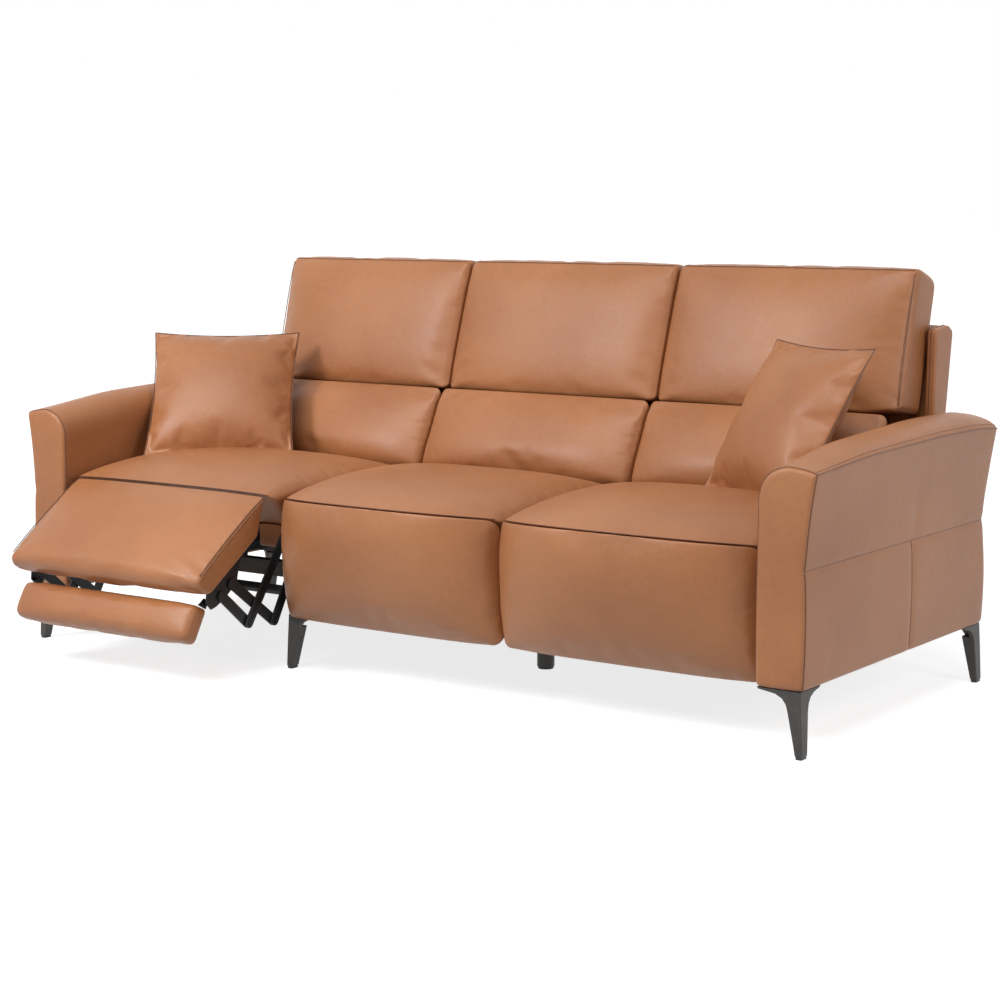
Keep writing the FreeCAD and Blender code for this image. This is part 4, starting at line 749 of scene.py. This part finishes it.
for index, label in ((-1, "left"), (0, "middle"), (1, "right")):
    body = "reclining back" if index < 0 else "base"
    left = -951 if index < 0 else pitch * index - back_half
    right = 951 if index > 0 else pitch * index + back_half
    profile = [(shell_rear(shell_bottom) - 40, shell_bottom), (shell_rear(818) - 40, 818),
               (shell_rear(shell_top) - 20, shell_top), (shell_rear(814), 814),
               (shell_rear(shell_bottom), shell_bottom)]
    shell_runs = (16, 2, 2, 22, 4)
    across, inset = stations((right - left) / 2, 9, 16)
    corners = np.broadcast_to(np.array(profile, float), (len(across), 5, 2))
    bulge = np.broadcast_to(np.array([0, 0, 0, 3.0, 0]), (len(across), 5))
    rings = drawn_in(bowed_rings(corners, bulge, (6, 6, 6, 6, 8), shell_runs), inset)
    x = np.broadcast_to(((left + right) / 2 + across)[:, None, None], rings.shape[:2] + (1,))
    points = millimetres(np.concatenate([x, rings], 2))
    shell = smoothed(skin(f"{label}_shell_cover", points, 0.0005))
    shell.data.materials.append(hide)
    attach(shell, body)
    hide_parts(f"{label}_back_shell")
    row = corner_row(shell_runs, 3)
    piping(f"{label}_shell_top_seam", points[2:-2, row], 0.0013, body)
    if index:
        wing = [(872, 600), (shell_rear(600) - 30, 540), (shell_rear(540), 540),
                (shell_rear(814), 814), (shell_rear(shell_top) - 26, shell_top), (878, 820)]
        across, inset = stations(12, 6, 4)
        corners = np.broadcast_to(np.array(wing, float), (len(across), 6, 2))
        rings = drawn_in(bowed_rings(corners, np.zeros((len(across), 6)), (12, 10, 8, 8, 8, 10),
                                     (4, 4, 16, 2, 4, 14)), inset)
        x = np.broadcast_to((index * 963 + across)[:, None, None], rings.shape[:2] + (1,))
        points = millimetres(np.concatenate([x, rings], 2))
        cover = smoothed(skin(f"{label}_shell_wing", points, 0.0005))
        cover.data.materials.append(hide)
        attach(cover, body)
        piping(f"{label}_wing_welt", points[6 if index > 0 else 8], 0.0014, body, closed=True)


# The fixed rear skirt closes the body below the shells: leather over a thin board, stapled
# underneath.
across, inset = stations(986, 5, 40)
profile = [(902, body_bottom), (902, 320), (arm_depth, 320), (arm_depth, body_bottom)]
corners = np.broadcast_to(np.array(profile, float), (len(across), 4, 2))
rings = drawn_in(bowed_rings(corners, np.zeros((len(across), 4)), (3, 5, 5, 3), (10, 2, 12, 2)), inset)
x = np.broadcast_to(across[:, None, None], rings.shape[:2] + (1,))
points = millimetres(np.concatenate([x, rings], 2))
skirt = skin("rear_skirt_cover", points, 0.0003)
skirt.data.materials.append(hide)
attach(skirt, "base")
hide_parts("rear_skirt_panel")
for x_seam in (-0.3145, 0.3145):
    line = np.array([(x_seam, (914.3 - 360) / 1000, z / 1000) for z in range(144, 318, 6)])
    piping(f"rear_skirt_seam_{'left' if x_seam < 0 else 'right'}", line, 0.0011, "base")


# Two loose cushions lie in the corners: knife edged leather squares with pointed corners
# and drawn-in sides, stuffed with fibre, so their leather puckers along the seam.
def throw(label, middle, turn, lean):
    """Two square faces sewn edge to edge: u and v run over the square, and each face swells
    by (1 - u ** 2) * (1 - v ** 2) to a power, while the sides draw in between the corners."""
    count, half = 45, 197.0
    grid = np.sin(np.linspace(-np.pi / 2, np.pi / 2, count))
    grid = 0.55 * grid + 0.45 * np.linspace(-1, 1, count)
    u, v = np.meshgrid(grid, grid, indexing="ij")
    side_u = (half - 4) * u * (1 - 0.055 * (1 - v ** 2) * np.abs(u))
    side_v = half * v * (1 - 0.06 * (1 - u ** 2) * np.abs(v))
    swell = 60 * (np.clip(1 - u ** 2, 0, 1) * np.clip(1 - v ** 2, 0, 1)) ** 0.62
    front = np.stack([side_u, -swell - 0.6, side_v], -1)
    rear = np.stack([side_u, swell + 0.6, side_v], -1)
    border = (np.abs(u) > 0.999) | (np.abs(v) > 0.999)
    index = np.arange(count * count).reshape(count, count)
    rear_index = index + count * count
    border_front = front.copy()
    border_front[border, 1] = 0
    number = np.where(border, index, rear_index)
    spots = np.concatenate([border_front.reshape(-1, 3), rear.reshape(-1, 3)])
    a = np.stack([index[:-1, :-1], index[1:, :-1], index[1:, 1:], index[:-1, 1:]], -1).reshape(-1, 4)
    b = np.stack([number[:-1, :-1], number[:-1, 1:], number[1:, 1:], number[1:, :-1]], -1).reshape(-1, 4)
    faces = np.concatenate([a, b])
    used = np.unique(faces)  # the rear face leaves its own border points out
    renumber = np.zeros(len(spots), int)
    renumber[used] = np.arange(len(used))
    spots, faces = spots[used], renumber[faces]
    yaw, tip_back = math.radians(turn), math.radians(-lean)
    rot_x = np.array([(1, 0, 0), (0, math.cos(tip_back), -math.sin(tip_back)),
                      (0, math.sin(tip_back), math.cos(tip_back))])
    rot_z = np.array([(math.cos(yaw), -math.sin(yaw), 0), (math.sin(yaw), math.cos(yaw), 0), (0, 0, 1)])
    move = rot_z @ rot_x

    def placed(points):
        return millimetres(points @ move.T + np.array(middle))

    mesh = bpy.data.meshes.new(f"{label}_cover")
    mesh.from_pydata(placed(spots).tolist(), [], faces.tolist())
    mesh.polygons.foreach_set("use_smooth", np.ones(len(mesh.polygons), bool))
    mesh.update()
    piece = bpy.data.objects.new(f"{label}_cover", mesh)
    bpy.context.scene.collection.objects.link(piece)
    rim = np.concatenate([border_front[:-1, 0], border_front[-1, :-1], border_front[:0:-1, -1],
                          border_front[0, :0:-1]])
    held = np.abs(spots[:, 1]) < 0.01
    return piece, held, placed(rim)


for label, middle, turn, lean in (("left_throw_cushion", (-845, 440, 613.2), 35.6, 39.6),
                                  ("right_throw_cushion", (782, 510, 626.4), -29, 30)):
    body = label.replace("_throw_", " throw ").replace("_", " ")
    piece, held, rim = throw(label, middle, turn, lean)
    cushion(piece, None, body, label, held, pressure=3.0, growth=0.03, cap=0.012)
    piping(f"{label}_edge", rim, 0.0013, body, closed=True)


# All the cushions are stuffed at once: the seams hold their points, the leather is cut a
# little large, and pressure fills it. A point moves by cap * tanh(far / cap), so never past
# its cap.
for piece, held, pressure, growth, cap in waiting:
    group = piece.vertex_groups.new(name="sewn")
    total = len(piece.data.vertices)
    fixed = np.zeros(total, bool)
    fixed[:held.size] = held.ravel()
    if held.ndim == 2:
        fixed[held.size:] = True
    group.add(np.flatnonzero(fixed).tolist(), 1.0, "REPLACE")
    cloth = piece.modifiers.new("stuffing", "CLOTH")
    cloth.settings.quality = 5
    cloth.settings.mass = 0.35
    cloth.settings.tension_stiffness = 18
    cloth.settings.compression_stiffness = 18
    cloth.settings.shear_stiffness = 8
    cloth.settings.bending_stiffness = 1.2
    cloth.settings.use_pressure = True
    cloth.settings.uniform_pressure_force = pressure
    cloth.settings.shrink_min = -growth
    cloth.settings.vertex_group_mass = "sewn"
    cloth.settings.effector_weights.gravity = 0
    cloth.collision_settings.use_collision = False
scene = bpy.context.scene
for step in range(1, 21):
    scene.frame_set(step)
graph = bpy.context.evaluated_depsgraph_get()
for piece, held, pressure, growth, cap in waiting:
    total = len(piece.data.vertices)
    before = np.empty(total * 3)
    piece.data.vertices.foreach_get("co", before)
    after = np.empty(total * 3)
    piece.evaluated_get(graph).data.vertices.foreach_get("co", after)
    before, after = before.reshape(-1, 3), after.reshape(-1, 3)
    moved = after - before
    far = np.linalg.norm(moved, axis=1, keepdims=True)
    moved *= cap * np.tanh(far / cap) / np.maximum(far, 1e-9)
    piece.modifiers.remove(piece.modifiers["stuffing"])
    piece.vertex_groups.clear()
    piece.data.vertices.foreach_set("co", (before + moved).ravel())
    piece.data.update()
scene.frame_set(1)
for piece, *rest in waiting:
    smoothed(piece)


# The photograph's studio: a white sweep without a visible horizon, one high soft sun from
# the left front and two panels of light that put a sheen on the leather.
sweep, tree, surface, place = shader("studio_floor")
surface.inputs["Base Color"].default_value = (0.5, 0.5, 0.5, 1)
surface.inputs["Roughness"].default_value = 0.9
surface.inputs["Specular IOR Level"].default_value = 0.0


def seen_rays(tree):
    """The larger of three flags: one for a camera, glossy or transmitted ray, else nought."""
    path = tree.nodes.new("ShaderNodeLightPath")
    first, both = tree.nodes.new("ShaderNodeMath"), tree.nodes.new("ShaderNodeMath")
    for node, one, two in ((first, path.outputs["Is Camera Ray"], path.outputs["Is Glossy Ray"]),
                           (both, first.outputs["Value"], path.outputs["Is Transmission Ray"])):
        node.operation = "MAXIMUM"
        tree.links.new(one, node.inputs[0])
        tree.links.new(two, node.inputs[1])
    return both.outputs["Value"]


glow = tree.nodes.new("ShaderNodeMath")
glow.operation = "MULTIPLY"
glow.inputs[1].default_value = 0.8
tree.links.new(seen_rays(tree), glow.inputs[0])
tree.links.new(glow.outputs["Value"], surface.inputs["Emission Strength"])
surface.inputs["Emission Color"].default_value = (1, 1, 1, 1)
floor_mesh = bpy.data.meshes.new("studio_floor")
far = 60
floor_mesh.from_pydata([(-far, -far, 0), (far, -far, 0), (far, far, 0), (-far, far, 0)], [], [(0, 1, 2, 3)])
floor_mesh.materials.append(sweep)
floor = bpy.data.objects.new("studio_floor", floor_mesh)
bpy.context.scene.collection.objects.link(floor)

world = bpy.data.worlds.new("studio")
bpy.context.scene.world = world
world.use_nodes = True
tree = world.node_tree
sky = next(n for n in tree.nodes if n.type == "BACKGROUND")
level = tree.nodes.new("ShaderNodeMapRange")
level.inputs["To Min"].default_value = 0.17
level.inputs["To Max"].default_value = 1.0
tree.links.new(seen_rays(tree), level.inputs["Value"])
tree.links.new(level.outputs["Result"], sky.inputs["Strength"])
sky.inputs["Color"].default_value = (1, 1, 1, 1)

sun = bpy.data.lights.new("soft_sun", "SUN")
sun.energy = 1.65
sun.angle = math.radians(34)
lamp = bpy.data.objects.new("soft_sun", sun)
lamp.rotation_euler = Vector((-0.12, 0.6, -1.0)).to_track_quat("-Z", "Y").to_euler()
bpy.context.scene.collection.objects.link(lamp)
for name, spot, aim, size, power in (("key_panel", (-1.8, -3.4, 3.1), (-0.3, 0, 0.45), 1.4, 120),
                                     ("side_panel", (4.4, -0.6, 2.0), (0.8, 0.1, 0.45), 1.6, 42)):
    data = bpy.data.lights.new(name, "AREA")
    data.energy = power
    data.shape = "SQUARE"
    data.size = size
    lamp = bpy.data.objects.new(name, data)
    lamp.location = spot
    lamp.rotation_euler = (Vector(aim) - Vector(spot)).to_track_quat("-Z", "Y").to_euler()
    bpy.context.scene.collection.objects.link(lamp)

turn, down = math.radians(35.1), math.radians(7.78)
camera_data = bpy.data.cameras.new("camera")
camera_data.lens = 78.8
camera_data.sensor_width = 36
camera = bpy.data.objects.new("camera", camera_data)
camera.location = (3.063, -4.2105, 1.1155)
forward = Vector((-math.sin(turn) * math.cos(down), math.cos(turn) * math.cos(down), -math.sin(down)))
camera.rotation_euler = forward.to_track_quat("-Z", "Y").to_euler()
bpy.context.scene.collection.objects.link(camera)
bpy.context.scene.camera = camera
bpy.context.scene.view_settings.view_transform = "Standard"
